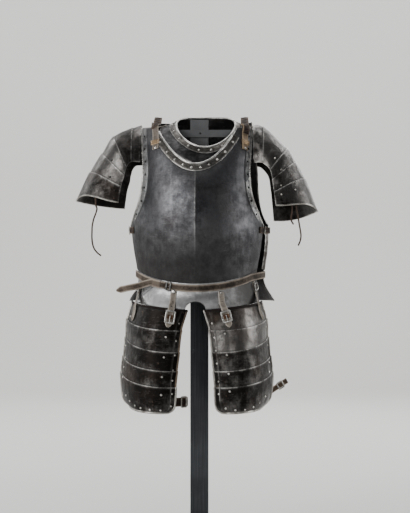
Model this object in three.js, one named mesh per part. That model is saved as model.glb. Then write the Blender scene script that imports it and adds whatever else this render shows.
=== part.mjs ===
// Half armour on a post stand: breastplate and backplate, gorget, laminated pauldrons,
// fauld, back skirt and laminated tassets, held by leather straps.
// Millimetres, Z up. The front faces -Y, and left and right are as seen from the front.
import * as THREE from 'three';

// Driving dimensions
const STEEL = 2.2; // body plates
const LAME = 1.8; // pauldron and tasset lames
const LEATHER = 2.6;
const GAP = 0.5; // between pieces that lie on each other
const TUCK_GAP = 1; // between a plate and the skirt tucked behind it
const ARMOUR_X = -6; // the armour hangs a little off the post's middle
const SIDE_LIMIT = 86; // degrees round to the side edge of breast and fauld
const BACK_SHIFT = 12; // the backplate sits a little to the right
const GORGET_X = 24; // so does the gorget
const GORGET_Y = -25;
const NECK = 82; // half width of the neck opening
const LAP = 0.22; // share of a lame that its neighbour covers
const LAP_STEP = 2.95; // how far a lame's covering edge stands off
const LAMES = 5;

// Stand
const BASE = { width: 420, depth: 400, height: 12 };
const POST = { side: 50, top: 1175.5 };
const BAR = { left: -95, right: 132, low: 1126.8, high: 1146.8, thick: 6 };
const SCREW_HOLE = { x: 3, radius: 3 };

// Breastplate sections by height: half width, depth in front, and how keeled the front is
const CHEST = [
  { z: 700, half: 163, front: -176, keel: 0.02 },
  { z: 760, half: 168, front: -190, keel: 0.06 },
  { z: 820, half: 178, front: -201, keel: 0.17 },
  { z: 880, half: 184, front: -203, keel: 0.22 },
  { z: 950, half: 182, front: -195, keel: 0.22 },
  { z: 1010, half: 174, front: -174, keel: 0.16 },
  { z: 1045, half: 169, front: -155, keel: 0.08 },
  { z: 1085, half: 164, front: -132, keel: 0 },
  { z: 1150, half: 158, front: -94, keel: 0 },
];
const CHEST_SIDE_Y = -8;
const WAIST = { side: 762, dip: 39 };
const NECKLINE = { low: 1043, rise: 80, half: 97 };
const CHEST_TOP = 1150;
const UNDERARM = 885;
const ARMHOLE = [
  { z: 885, x: 182 },
  { z: 905, x: 171 },
  { z: 929, x: 161 },
  { z: 950, x: 153.5 },
  { z: 985, x: 146.5 },
  { z: 1035, x: 144 },
  { z: 1085, x: 147 },
  { z: 1150, x: 150 },
];

// Backplate sections
const BACK = [
  { z: 700, half: 172, rear: 92 },
  { z: 760, half: 178, rear: 98 },
  { z: 820, half: 186, rear: 112 },
  { z: 880, half: 188, rear: 128 },
  { z: 950, half: 186, rear: 138 },
  { z: 1020, half: 178, rear: 136 },
  { z: 1080, half: 168, rear: 124 },
  { z: 1130, half: 159, rear: 104 },
  { z: 1172, half: 152, rear: 76 },
];
const BACK_SIDE_Y = 4;
const BACK_WAIST = 758;
const BACK_NECK = { low: 1142, rise: 30, half: 92 };
const SPINE = { depth: 6, half: 26 };
const BACK_ARMHOLE = [
  { z: 880, x: 187 },
  { z: 905, x: 173 },
  { z: 940, x: 163 },
  { z: 985, x: 158 },
  { z: 1035, x: 156 },
  { z: 1085, x: 151 },
  { z: 1172, x: 140 },
];

// Skirts under the belt
const FAULD = { tuck: 8, half: 172, front: -203, low: 653, sideRise: 18, straight: 0.4 };
const ARCH = { half: 27, rise: 21 };
const FLARE_END = 1.3; // where the flare would level off, as a share of a skirt's height
const SKIRT = { tuck: 8, half: 205, rear: 128, low: 672, straight: 0.33 };

// Gorget plate: length of its slope at each turn from the front, in degrees
const GORGET_REACH = [
  { turn: -180, length: 60 },
  { turn: -130, length: 46 },
  { turn: -95, length: 46 },
  { turn: -78, length: 47 },
  { turn: -60, length: 55 },
  { turn: -38, length: 57 },
  { turn: 0, length: 50 },
  { turn: 38, length: 32 },
  { turn: 62, length: 19 },
  { turn: 78, length: 24 },
  { turn: 95, length: 46 },
  { turn: 130, length: 46 },
  { turn: 180, length: 60 },
];
const NECK_RIM = { mid: 1161, tilt: 47, droop: 21 };

// Pauldron ribs from the neck outwards, for each side: the rib's two ends, its crown,
// half its depth, and how far its front edge arches up and its rear end hangs down
const PAULDRON_RIBS = {
  left: [
    { s: 0, endX: 156, endZ: 1052, crownX: 156, crownZ: 1163, depth: 72, arch: 0, drop: 0 },
    { s: 1, endX: 181, endZ: 1052, crownX: 180, crownZ: 1154, depth: 83, arch: 0, drop: 2 },
    { s: 2, endX: 191, endZ: 1036, crownX: 233, crownZ: 1131, depth: 96, arch: 0, drop: 4 },
    { s: 3, endX: 195, endZ: 1014, crownX: 267, crownZ: 1082, depth: 101, arch: 2, drop: 6 },
    { s: 4, endX: 203, endZ: 985, crownX: 301, crownZ: 1029, depth: 104, arch: 5, drop: 8 },
    { s: 5, endX: 209, endZ: 942, crownX: 340, crownZ: 950, depth: 112, arch: 15, drop: 10 },
  ],
  right: [
    { s: 0, endX: 156, endZ: 1050, crownX: 156, crownZ: 1163, depth: 72, arch: 0, drop: 0 },
    { s: 1, endX: 182, endZ: 1048, crownX: 184, crownZ: 1157, depth: 83, arch: 0, drop: 4 },
    { s: 2, endX: 200, endZ: 1029, crownX: 251, crownZ: 1096, depth: 97, arch: 0, drop: 8 },
    { s: 3, endX: 205, endZ: 1003, crownX: 275, crownZ: 1058, depth: 102, arch: 2, drop: 12 },
    { s: 4, endX: 209, endZ: 970, crownX: 300, crownZ: 1010, depth: 105, arch: 5, drop: 18 },
    { s: 5, endX: 213, endZ: 934, crownX: 336, crownZ: 921, depth: 113, arch: 13, drop: 36 },
  ],
};
const PAULDRON_Y = 4;
const PAULDRON_END = 88; // degrees from the crown to a lame's end

// Tasset ribs from the top down: inner and outer edge, their heights, how the rib bows
// between them, and depths
const TASSET_RIBS = [
  { s: 0, inX: 22, outX: 178, inZ: 650.5, outZ: 668, bow: 1.1, frontY: -202, outY: -52 },
  { s: 1, inX: 38, outX: 190, inZ: 597, outZ: 623, bow: 2, frontY: -207, outY: -54 },
  { s: 2, inX: 44, outX: 194, inZ: 539, outZ: 573, bow: 2, frontY: -212, outY: -56 },
  { s: 3, inX: 49, outX: 200, inZ: 489, outZ: 521, bow: 2, frontY: -216, outY: -58 },
  { s: 4, inX: 52, outX: 206, inZ: 446, outZ: 478, bow: 2, frontY: -219, outY: -60 },
  { s: 4.6, inX: 53.5, outX: 204, inZ: 406, outZ: 424, bow: 2, frontY: -221, outY: -63 },
  { s: 4.85, inX: 57.5, outX: 197, inZ: 389, outZ: 401, bow: 2, frontY: -222, outY: -74 },
  { s: 5, inX: 72, outX: 180, inZ: 379.5, outZ: 388, bow: 2, frontY: -222, outY: -98 },
];
const TASSET_TURN = { inner: -28, outer: 80 };

// Straps
const SHOULDER_STRAP = { width: 20, left: -111, right: 132, crestY: 36, crestZ: 1181 };
const STRAP_PLATE = { heights: [1101, 1107, 1113], thick: 1.6 };
const BELT = { width: 19.5, drop: 13.5, lift: 1.7 };
const TASSET_STRAP_WIDTH = 17.5;
const TASSET_BUCKLE = { width: 28, bar: 4.5, thick: 4 };
const BUCKLE_RISE = 2.6; // the frames stand off their straps, which bend under them
const TASSET_STRAPS = [
  { name: 'outer_left', side: -1, topX: 154, lowX: 172, buckleAt: 1, buckleLength: 22 },
  { name: 'inner_left', side: -1, topX: 59, lowX: 74, buckleAt: 5, buckleLength: 36 },
  { name: 'inner_right', side: 1, topX: 68, lowX: 92, buckleAt: 5, buckleLength: 32 },
  { name: 'outer_right', side: 1, topX: 156, lowX: 180, buckleAt: 1, buckleLength: 22 },
];
const SIDE_STRAP = { width: 18, z: 868 };
const THIGH_STRAPS = [
  { end: 'left', side: -1, turn: -26, s: 4.6, width: 24, reach: 36, lean: 0, rise: 0 },
  { end: 'right', side: 1, turn: 78, s: 4.62, width: 15, reach: 52, lean: -60, rise: 30 },
];
const PAST_EDGE = 11; // how far a thigh strap runs on before it bends

// Laces: routes start under a pauldron and hang free
const LACE = {
  diameter: 4.5,
  routes: {
    left: [
      [-283.5, -87.9, 959], [-283, -85, 946], [-283, -82, 936], [-280, -81, 927],
      [-283, -80, 914], [-289, -79, 898], [-293, -78, 880], [-294, -77, 862],
      [-294, -77, 844], [-292, -76, 828], [-287, -76, 815], [-279, -76, 805], [-270, -77, 798],
    ],
    right: [
      [262.4, -88.3, 950], [266, -88, 936], [269, -86, 920], [272, -85, 903],
      [275, -84, 885], [278, -83, 868], [280, -82, 852], [278, -81, 838], [273, -81, 826],
    ],
    right_short: [
      [255.4, -92.6, 951.2], [255, -87, 938], [256, -84, 926], [255, -82, 914],
      [253, -81, 903], [254, -80, 893], [259, -80, 884],
    ],
  },
};

const DEGREE = Math.PI / 180;

// Materials
function finish(colour, metalness, roughness) {
  return new THREE.MeshStandardMaterial({ color: colour, metalness, roughness });
}
const DARK_STEEL = finish(0x5a5957, 1, 0.42);
const BRIGHT_STEEL = finish(0xb9b9ba, 1, 0.35);
const IRON = finish(0x6b6864, 1, 0.5);
const BRASS = finish(0x7d6238, 1, 0.5);
const TAN_LEATHER = finish(0xa8937a, 0, 0.75);
const BROWN_LEATHER = finish(0x6b5a47, 0, 0.75);
const PAINT = finish(0x2a2c2f, 0.2, 0.55);

// Smooth value of one column of a table whose rows go up by key
function lookUp(rows, key, column, value) {
  const last = rows.length - 1;
  const place = THREE.MathUtils.clamp(value, rows[0][key], rows[last][key]);
  let i = 0;
  while (i < last - 1 && rows[i + 1][key] < place) i += 1;
  const slope = (a, b) => (rows[b][column] - rows[a][column]) / (rows[b][key] - rows[a][key]);
  const tangent = (j) => slope(Math.max(j - 1, 0), Math.min(j + 1, last));
  const span = rows[i + 1][key] - rows[i][key];
  const t = (place - rows[i][key]) / span;
  const t2 = t * t;
  const t3 = t2 * t;
  return (2 * t3 - 3 * t2 + 1) * rows[i][column] + (t3 - 2 * t2 + t) * span * tangent(i)
    + (3 * t2 - 2 * t3) * rows[i + 1][column] + (t3 - t2) * span * tangent(i + 1);
}

// Evenly spaced numbers, both ends included
function spread(low, high, steps) {
  return Array.from({ length: steps + 1 }, (_, i) => low + ((high - low) * i) / steps);
}

// Unit vector square to a surface at (u, v)
function squareTo(surface, u, v) {
  const step = 1e-3;
  const along = surface(u + step, v).sub(surface(u - step, v));
  const up = surface(u, v + step).sub(surface(u, v - step));
  return along.cross(up).normalize();
}

// The surface's own way of facing away from a point inside it: 1 or -1
function facing(surface, u, v, inside) {
  const outward = surface(u, v).sub(inside);
  return Math.sign(squareTo(surface, u, v).dot(outward));
}

// Point at a height above the outer side of a plate
function lifted(plate, u, v, height) {
  return plate.at(u, v).addScaledVector(squareTo(plate.at, u, v), height * plate.sign);
}

// A plate is its outer surface and the sign that turns its normal outwards
function plateOf(at, u, v, inside) {
  return { at, sign: facing(at, u, v, inside) };
}

// Closed body between two grids of points, the rows of which may close into a ring
function bodyBetween(outer, inner, ring) {
  const rows = outer.length;
  const columns = outer[0].length;
  const half = rows * columns;
  const points = [...outer.flat(), ...inner.flat()];
  const index = (row, column) => row * columns + (column % columns);
  const faces = [];
  const quad = (a, b, c, d) => faces.push(a, b, c, a, c, d);
  const steps = ring ? columns : columns - 1;
  for (let row = 0; row < rows - 1; row += 1) {
    for (let column = 0; column < steps; column += 1) {
      const corners = [
        index(row, column),
        index(row, column + 1),
        index(row + 1, column + 1),
        index(row + 1, column),
      ];
      quad(...corners);
      quad(...corners.map((corner) => corner + half).reverse());
    }
  }
  const edge = (a, b) => quad(b, a, a + half, b + half);
  for (let column = 0; column < steps; column += 1) {
    edge(index(0, column), index(0, column + 1));
    edge(index(rows - 1, column + 1), index(rows - 1, column));
  }
  if (!ring) {
    for (let row = 0; row < rows - 1; row += 1) {
      edge(index(row, columns - 1), index(row + 1, columns - 1));
      edge(index(row + 1, 0), index(row, 0));
    }
  }
  const geometry = new THREE.BufferGeometry().setFromPoints(points);
  const volume = faces.reduce((sum, _, i) => {
    if (i % 3) return sum;
    const [a, b, c] = [points[faces[i]], points[faces[i + 1]], points[faces[i + 2]]];
    return sum + a.dot(b.clone().cross(c));
  }, 0);
  geometry.setIndex(volume < 0 ? faces.reverse() : faces);
  geometry.computeVertexNormals();
  return geometry;
}

// Wall of even thickness behind a plate's outer surface, on the given grid lines
function wall(plate, us, vs, thickness) {
  const outer = vs.map((v) => us.map((u) => plate.at(u, v)));
  const inner = vs.map((v) => us.map((u) => lifted(plate, u, v, -thickness)));
  return bodyBetween(outer, inner, false);
}

// Flat strap along stations, each a point under the strap and the way out of the surface there
function ribbon(stations, { width, thickness, steps, ring = false, tip = 1 }) {
  const centre = new THREE.CatmullRomCurve3(stations.map((s) => s.point), ring, 'centripetal');
  const outward = new THREE.CatmullRomCurve3(stations.map((s) => s.out), ring, 'centripetal');
  const places = ring ? spread(0, 1, steps).slice(0, -1) : spread(0, 1, steps);
  const sections = places.map((place, i) => {
    const point = centre.getPoint(place);
    const along = centre.getTangent(place);
    const across = along.clone().cross(outward.getPoint(place)).normalize();
    const out = across.clone().cross(along).normalize();
    const half = (width / 2) * (!ring && i === steps ? tip : 1);
    return (side, height) => point.clone()
      .addScaledVector(across, side * half)
      .addScaledVector(out, height);
  });
  const face = (height) => [-1, 1].map((side) => sections.map((corner) => corner(side, height)));
  return bodyBetween(face(thickness), face(0), ring);
}

// A station on a plate for a strap that lies on it
function station(plate, u, v, height = GAP) {
  return {
    point: lifted(plate, u, v, height),
    out: squareTo(plate.at, u, v).multiplyScalar(plate.sign),
  };
}

// Breastplate: turn goes round from the ridge in degrees, height is z
function chestAt(turn, z, inset = 0) {
  const half = lookUp(CHEST, 'z', 'half', z) - inset;
  const front = lookUp(CHEST, 'z', 'front', z) + inset;
  const keel = lookUp(CHEST, 'z', 'keel', z);
  const across = Math.sin(turn * DEGREE);
  const round = Math.cos(turn * DEGREE);
  const share = (1 - keel) * round + keel * (1 - Math.abs(across));
  return new THREE.Vector3(half * across, CHEST_SIDE_Y + (front - CHEST_SIDE_Y) * share, z);
}

function backAt(turn, z, inset = 0) {
  const half = lookUp(BACK, 'z', 'half', z) - inset;
  const rear = lookUp(BACK, 'z', 'rear', z) - inset;
  const x = half * Math.sin(turn * DEGREE);
  const hollow = SPINE.depth * Math.exp(-((x / SPINE.half) ** 2));
  const y = BACK_SIDE_Y + (rear - BACK_SIDE_Y) * Math.cos(turn * DEGREE) - hollow;
  return new THREE.Vector3(x + BACK_SHIFT, y, z);
}

// Turn of a plate's side edge, where its armhole has the given half width
function edgeTurn(armhole, sections, corner, z) {
  if (z <= corner) return SIDE_LIMIT;
  const reach = lookUp(armhole, 'z', 'x', z) / lookUp(sections, 'z', 'half', z);
  return Math.min(Math.asin(Math.min(reach, 1)) / DEGREE, SIDE_LIMIT);
}

function waistAt(turn) {
  return WAIST.side - WAIST.dip * Math.max(Math.cos(turn * DEGREE), 0) ** 1.5;
}

// Edge of a neckline that rises as a parabola to the shoulder
function necklineAt(x, neck, top) {
  return Math.min(neck.low + neck.rise * (x / neck.half) ** 2, top);
}

function breastPatch(u, v) {
  const low = waistAt(u * SIDE_LIMIT);
  const sideZ = WAIST.side + (CHEST_TOP - WAIST.side) * v;
  const turn = u * edgeTurn(ARMHOLE, CHEST, UNDERARM, sideZ);
  const topTurn = u * edgeTurn(ARMHOLE, CHEST, UNDERARM, CHEST_TOP);
  const topX = chestAt(topTurn, CHEST_TOP).x;
  const high = necklineAt(topX, NECKLINE, CHEST_TOP);
  return chestAt(turn, low + (high - low) * v);
}

function backPatch(u, v) {
  const top = BACK[BACK.length - 1].z;
  const sideZ = BACK_WAIST + (top - BACK_WAIST) * v;
  const turn = u * edgeTurn(BACK_ARMHOLE, BACK, BACK_ARMHOLE[0].z, sideZ);
  const topTurn = u * edgeTurn(BACK_ARMHOLE, BACK, BACK_ARMHOLE[0].z, top);
  const topX = backAt(topTurn, top).x - BACK_SHIFT;
  const high = necklineAt(topX, BACK_NECK, top);
  return backAt(turn, BACK_WAIST + (high - BACK_WAIST) * v);
}

// Skirts: straight under the belt, then flaring; v goes from the tucked edge to the hem
function flareAt(v, straight) {
  const { smoothstep } = THREE.MathUtils;
  return smoothstep(v, straight, FLARE_END) / smoothstep(1, straight, FLARE_END);
}

function fauldPatch(u, v) {
  const turn = u * SIDE_LIMIT;
  const top = chestAt(turn, waistAt(turn), STEEL + TUCK_GAP);
  const hemX = FAULD.half * Math.sin(turn * DEGREE);
  const hemY = CHEST_SIDE_Y + (FAULD.front - CHEST_SIDE_Y) * Math.cos(turn * DEGREE);
  const rise = FAULD.sideRise * Math.sin(turn * DEGREE) ** 2;
  const arch = ARCH.rise * Math.sqrt(Math.max(1 - (hemX / ARCH.half) ** 2, 0));
  const topZ = top.z + FAULD.tuck;
  const fullHeight = topZ - FAULD.low - rise;
  const down = v * (fullHeight - arch);
  const share = flareAt(down / fullHeight, FAULD.straight);
  return new THREE.Vector3(
    top.x + (hemX - top.x) * share,
    top.y + (hemY - top.y) * share,
    topZ - down,
  );
}

function skirtPatch(u, v) {
  const turn = u * SIDE_LIMIT;
  const top = backAt(turn, BACK_WAIST, STEEL + TUCK_GAP);
  const hemX = BACK_SHIFT + SKIRT.half * Math.sin(turn * DEGREE);
  const hemY = BACK_SIDE_Y + (SKIRT.rear - BACK_SIDE_Y) * Math.cos(turn * DEGREE);
  const share = flareAt(v, SKIRT.straight);
  const topZ = BACK_WAIST + SKIRT.tuck;
  return new THREE.Vector3(
    top.x + (hemX - top.x) * share,
    top.y + (hemY - top.y) * share,
    topZ + (SKIRT.low - topZ) * v,
  );
}

// Gorget: turn in degrees from the front, slope is the distance down from the neck rim
function gorgetAt(turn, slope) {
  const across = Math.sin(turn * DEGREE);
  const ahead = Math.cos(turn * DEGREE);
  const fall = (14 + 50 * ahead * ahead) * DEGREE;
  const out = NECK + slope * Math.cos(fall);
  const rim = NECK_RIM.mid - NECK_RIM.tilt * ahead - NECK_RIM.droop * ahead * ahead;
  const depth = NECK - 2 + slope * Math.cos(fall);
  const z = rim - slope * Math.sin(fall);
  return new THREE.Vector3(GORGET_X + out * across, GORGET_Y - depth * ahead, z);
}

function gorgetPatch(u, v) {
  const turn = THREE.MathUtils.euclideanModulo(u + 180, 360) - 180;
  return gorgetAt(turn, v * lookUp(GORGET_REACH, 'turn', 'length', turn));
}

// Pauldron: turn goes from the rear end over the crown to the front end, s from the neck out
function pauldronAt(side, turn, s) {
  const ribs = PAULDRON_RIBS[side < 0 ? 'left' : 'right'];
  const rib = (column) => lookUp(ribs, 's', column, s);
  const crown = Math.cos(turn * DEGREE);
  const ahead = Math.sin(turn * DEGREE);
  const front = Math.max(ahead, 0);
  const behind = Math.max(-ahead, 0);
  const arch = rib('arch') * (2 * front * crown) ** 2;
  return new THREE.Vector3(
    side * (rib('endX') + (rib('crownX') - rib('endX')) * crown),
    PAULDRON_Y - rib('depth') * ahead,
    rib('endZ') + (rib('crownZ') - rib('endZ')) * crown + arch - rib('drop') * behind * behind,
  );
}

// Tasset: turn goes round the thigh from the inner edge, s from the top down
function tassetAt(side, turn, s) {
  const rib = (column) => lookUp(TASSET_RIBS, 's', column, s);
  const { inner, outer } = TASSET_TURN;
  const reach = Math.sin(outer * DEGREE) - Math.sin(inner * DEGREE);
  const half = (rib('outX') - rib('inX')) / reach;
  const middle = rib('outX') - half * Math.sin(outer * DEGREE);
  const deep = (rib('outY') - rib('frontY')) / (1 - Math.cos(outer * DEGREE));
  const share = (turn - inner) / (outer - inner);
  return new THREE.Vector3(
    side * (middle + half * Math.sin(turn * DEGREE)),
    rib('frontY') + deep * (1 - Math.cos(turn * DEGREE)),
    rib('inZ') + (rib('outZ') - rib('inZ')) * Math.max(share, 0) ** rib('bow'),
  );
}

// Lame k of a stack: it lies over the lame above and under the lame below
function lameOf(at, inside, k) {
  const base = plateOf(at, 10, k + 0.5, inside);
  const last = k === LAMES - 1;
  const span = last ? 1 : 1 + LAP;
  const height = (s) => LAP_STEP * (1 - (k === 0 ? Math.max(s, 1) : s - k) / (1 + LAP));
  const plate = { at: (u, s) => lifted(base, u, s, height(s)), sign: base.sign };
  const rows = k === 0 ? [0, 0.45, 1, span] : [0, LAP, 0.6, 1, span];
  if (last) rows.splice(3, 2, 0.8, 0.92, 1);
  return { plate, rows: rows.map((s) => k + s) };
}

// Pieces
const armour = new THREE.Group();
armour.position.x = ARMOUR_X;
const stand = new THREE.Group();
const hanging = new THREE.Group();

function add(group, name, geometry, material) {
  const piece = new THREE.Mesh(geometry, material);
  piece.name = name;
  group.add(piece);
  return piece;
}

function mirrored(values) {
  return [...values.slice(1).reverse().map((value) => -value), ...values];
}

function makeStand() {
  const base = new THREE.BoxGeometry(BASE.width, BASE.depth, BASE.height);
  add(stand, 'stand_base', base, PAINT).position.z = BASE.height / 2;
  const length = POST.top - BASE.height - GAP;
  const post = new THREE.BoxGeometry(POST.side, POST.side, length);
  add(stand, 'stand_post', post, PAINT).position.z = POST.top - length / 2;
  const bar = new THREE.Shape();
  bar.moveTo(BAR.left, BAR.low);
  bar.lineTo(BAR.right, BAR.low);
  bar.lineTo(BAR.right, BAR.high);
  bar.lineTo(BAR.left, BAR.high);
  const holeZ = (BAR.low + BAR.high) / 2;
  bar.holes.push(new THREE.Path().absarc(SCREW_HOLE.x, holeZ, SCREW_HOLE.radius, 0, 2 * Math.PI));
  const settings = { depth: BAR.thick, bevelEnabled: false, curveSegments: 8 };
  const flat = new THREE.ExtrudeGeometry(bar, settings);
  const crossbar = add(stand, 'stand_crossbar', flat, PAINT);
  crossbar.rotation.x = Math.PI / 2;
  crossbar.position.y = -POST.side / 2 - GAP / 2;
}

const TORSO_INSIDE = new THREE.Vector3(0, 0, 900);
const BREAST = plateOf(breastPatch, 0.1, 0.5, TORSO_INSIDE);
const BACKPLATE = plateOf(backPatch, 0.1, 0.5, TORSO_INSIDE);
const FAULD_PLATE = plateOf(fauldPatch, 0.3, 0.5, TORSO_INSIDE);
const SKIRT_PLATE = plateOf(skirtPatch, 0.3, 0.5, TORSO_INSIDE);
const GORGET = plateOf(gorgetPatch, 10, 0.5, new THREE.Vector3(GORGET_X, GORGET_Y, 1000));
const CHEST_PLATE = plateOf(chestAt, 10, 900, TORSO_INSIDE);
const BACK_PLATE = plateOf(backAt, 10, 900, TORSO_INSIDE);

function makeBody() {
  const columns = mirrored([0, 0.1, 0.2, 0.3, 0.4, 0.5, 0.575, 0.65, 0.74, 0.83, 0.92, 1]);
  const corner = (UNDERARM - WAIST.side) / (CHEST_TOP - WAIST.side);
  const rows = [0, 0.11, 0.21, corner, 0.37, 0.44, 0.52, 0.6, 0.7, 0.8, 0.9, 1];
  add(armour, 'breastplate', wall(BREAST, columns, rows, STEEL), DARK_STEEL);
  const backRows = [0, 0.1, 0.2, 0.295, 0.36, 0.44, 0.54, 0.66, 0.78, 0.89, 1];
  add(armour, 'backplate', wall(BACKPLATE, columns, backRows, STEEL), DARK_STEEL);
  const archColumns = [0, 0.04, 0.08, 0.105, 0.14, 0.2, 0.3, 0.4, 0.5, 0.6, 0.7, 0.8, 0.9, 1];
  const skirtRows = [0, 0.35, 0.6, 0.8, 1];
  add(armour, 'fauld', wall(FAULD_PLATE, mirrored(archColumns), skirtRows, STEEL), BRIGHT_STEEL);
  add(armour, 'back_skirt', wall(SKIRT_PLATE, spread(-1, 1, 18), skirtRows, STEEL), DARK_STEEL);
  const joint = 90;
  const slack = 0.3;
  const gorgetRows = [0, 0.35, 0.7, 1];
  const frontTurns = spread(-joint + slack, joint - slack, 16);
  const backTurns = spread(joint + slack, 360 - joint - slack, 16);
  add(armour, 'gorget_front', wall(GORGET, frontTurns, gorgetRows, STEEL), DARK_STEEL);
  add(armour, 'gorget_back', wall(GORGET, backTurns, gorgetRows, STEEL), DARK_STEEL);
}

function makeLames() {
  const pauldronTurns = spread(-PAULDRON_END, PAULDRON_END, 14);
  const tassetTurns = spread(TASSET_TURN.inner, TASSET_TURN.outer, 8);
  [-1, 1].forEach((side) => {
    const end = side < 0 ? 'left' : 'right';
    const armpit = new THREE.Vector3(side * 190, 0, 960);
    const thigh = new THREE.Vector3(side * 100, -60, 520);
    for (let k = 0; k < LAMES; k += 1) {
      const shoulder = lameOf((u, s) => pauldronAt(side, u, s), armpit, k);
      const shell = wall(shoulder.plate, pauldronTurns, shoulder.rows, LAME);
      add(armour, `pauldron_lame_${k + 1}_${end}`, shell, DARK_STEEL);
      const leg = lameOf((u, s) => tassetAt(side, u, s), thigh, k);
      const plate = wall(leg.plate, tassetTurns, leg.rows, LAME);
      add(armour, `tasset_lame_${k + 1}_${end}`, plate, DARK_STEEL);
    }
  });
}

// Turn at which a body section reaches a given x
function turnFor(sections, z, x) {
  return Math.asin(x / lookUp(sections, 'z', 'half', z)) / DEGREE;
}

// A frame buckle or plate lying on a strap: along the strap it is the given length
function frameOn({ point, out }, along, { length, width, bar, thick, height }) {
  const outline = new THREE.Shape();
  outline.moveTo(-length / 2, -width / 2);
  outline.lineTo(length / 2, -width / 2);
  outline.lineTo(length / 2, width / 2);
  outline.lineTo(-length / 2, width / 2);
  const inside = new THREE.Path();
  inside.moveTo(-length / 2 + bar, -width / 2 + bar);
  inside.lineTo(-length / 2 + bar, width / 2 - bar);
  inside.lineTo(length / 2 - bar, width / 2 - bar);
  inside.lineTo(length / 2 - bar, -width / 2 + bar);
  outline.holes.push(inside);
  const geometry = new THREE.ExtrudeGeometry(outline, { depth: thick, bevelEnabled: false });
  const across = out.clone().cross(along).normalize();
  const straight = across.clone().cross(out).normalize();
  const basis = new THREE.Matrix4().makeBasis(straight, across, out);
  basis.setPosition(point.clone().addScaledVector(out, height));
  return geometry.applyMatrix4(basis);
}

function makeShoulderStraps() {
  const { width, crestY, crestZ } = SHOULDER_STRAP;
  [['left', SHOULDER_STRAP.left], ['right', SHOULDER_STRAP.right]].forEach(([end, x]) => {
    const front = (z, height = GAP) => station(CHEST_PLATE, turnFor(CHEST, z, x), z, height);
    const rearTurn = (z) => turnFor(BACK, z, x - BACK_SHIFT);
    const rear = (z, height = GAP) => station(BACK_PLATE, rearTurn(z), z, height);
    const free = (y, z, lean) => ({
      point: new THREE.Vector3(x, y, z),
      out: new THREE.Vector3(0, lean, 1),
    });
    const stations = [
      front(1088),
      front(1112),
      front(1132, 1),
      front(1147, 4.8),
      free(-30, 1161, -0.3),
      free(2, 1172, -0.3),
      free(crestY, crestZ, 0.2),
      rear(1164, 2.6),
      rear(1140, 1.4),
      rear(1106),
    ];
    const strap = ribbon(stations, { width, thickness: LEATHER, steps: 22 });
    add(armour, `shoulder_strap_${end}`, strap, TAN_LEATHER);
    const plate = STRAP_PLATE.heights.map((z) => front(z, LEATHER + 2 * GAP));
    const cover = ribbon(plate, { width: width + 8, thickness: STRAP_PLATE.thick, steps: 3 });
    add(armour, `strap_plate_${end}`, cover, BRASS);
  });
}

// Station on a skirt's outer side at a height
function skirtStation(plate, u, z, height = GAP) {
  const top = plate.at(u, 0).z;
  const hem = plate.at(u, 1).z;
  return station(plate, u, (top - z) / (top - hem), height);
}

function beltHeight(u) {
  return waistAt(u * SIDE_LIMIT) - BELT.drop;
}

function makeBelt() {
  const leather = { width: BELT.width, thickness: LEATHER };
  const onFauld = (u, height) => skirtStation(FAULD_PLATE, u, beltHeight(u), height);
  const onSkirt = (u, height) => skirtStation(SKIRT_PLATE, u, BACK_WAIST - BELT.drop, height);
  const front = [-0.8, -0.6, -0.4, -0.2, 0, 0.2, 0.4, 0.6, 0.74].map((u) => onFauld(u, BELT.lift));
  const rear = [0.985, 0.8, 0.5, 0.2, -0.2, -0.5, -0.75].map((u) => onSkirt(u, BELT.lift + 0.3));
  const loop = [onFauld(-1, 4), ...front, ...rear, onSkirt(-0.97, 4)];
  add(armour, 'waist_belt', ribbon(loop, { ...leather, steps: 46, ring: true }), BROWN_LEATHER);

  const over = BELT.lift + LEATHER + GAP;
  const away = (x, y, z) => ({
    point: new THREE.Vector3(x, y, z),
    out: new THREE.Vector3(-0.6, -0.8, 0),
  });
  const tail = [
    onFauld(-0.34, over),
    onFauld(-0.43, over),
    onFauld(-0.52, over + 0.3),
    away(-157, -106, 715),
    away(-190, -82, 708),
    away(-221, -60, 701),
  ];
  const narrow = { width: BELT.width - 1, thickness: LEATHER, steps: 14, tip: 0.3 };
  add(armour, 'belt_tail', ribbon(tail, narrow), BROWN_LEATHER);
  const outside = over + LEATHER + GAP;
  const keeper = [
    onFauld(-0.4, outside),
    onFauld(-0.45, outside),
    onFauld(-0.5, outside + GAP),
  ];
  const loopSize = { width: BELT.width + 1, thickness: 2, steps: 4 };
  add(armour, 'belt_keeper', ribbon(keeper, loopSize), BROWN_LEATHER);
  const along = FAULD_PLATE.at(-0.27, 0.2).sub(FAULD_PLATE.at(-0.35, 0.2));
  const buckle = { length: 16, width: 26, bar: 4, thick: 4, height: LEATHER + GAP };
  add(armour, 'belt_buckle', frameOn(onFauld(-0.3, BELT.lift), along, buckle), IRON);
}

// Turn at which a tasset reaches a given x, counted outwards
function tassetTurn(s, x) {
  const { inner, outer } = TASSET_TURN;
  const low = tassetAt(1, inner, s).x;
  const high = tassetAt(1, outer, s).x;
  const share = (x - low) / (high - low);
  const sine = THREE.MathUtils.lerp(Math.sin(inner * DEGREE), Math.sin(outer * DEGREE), share);
  return Math.asin(sine) / DEGREE;
}

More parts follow.
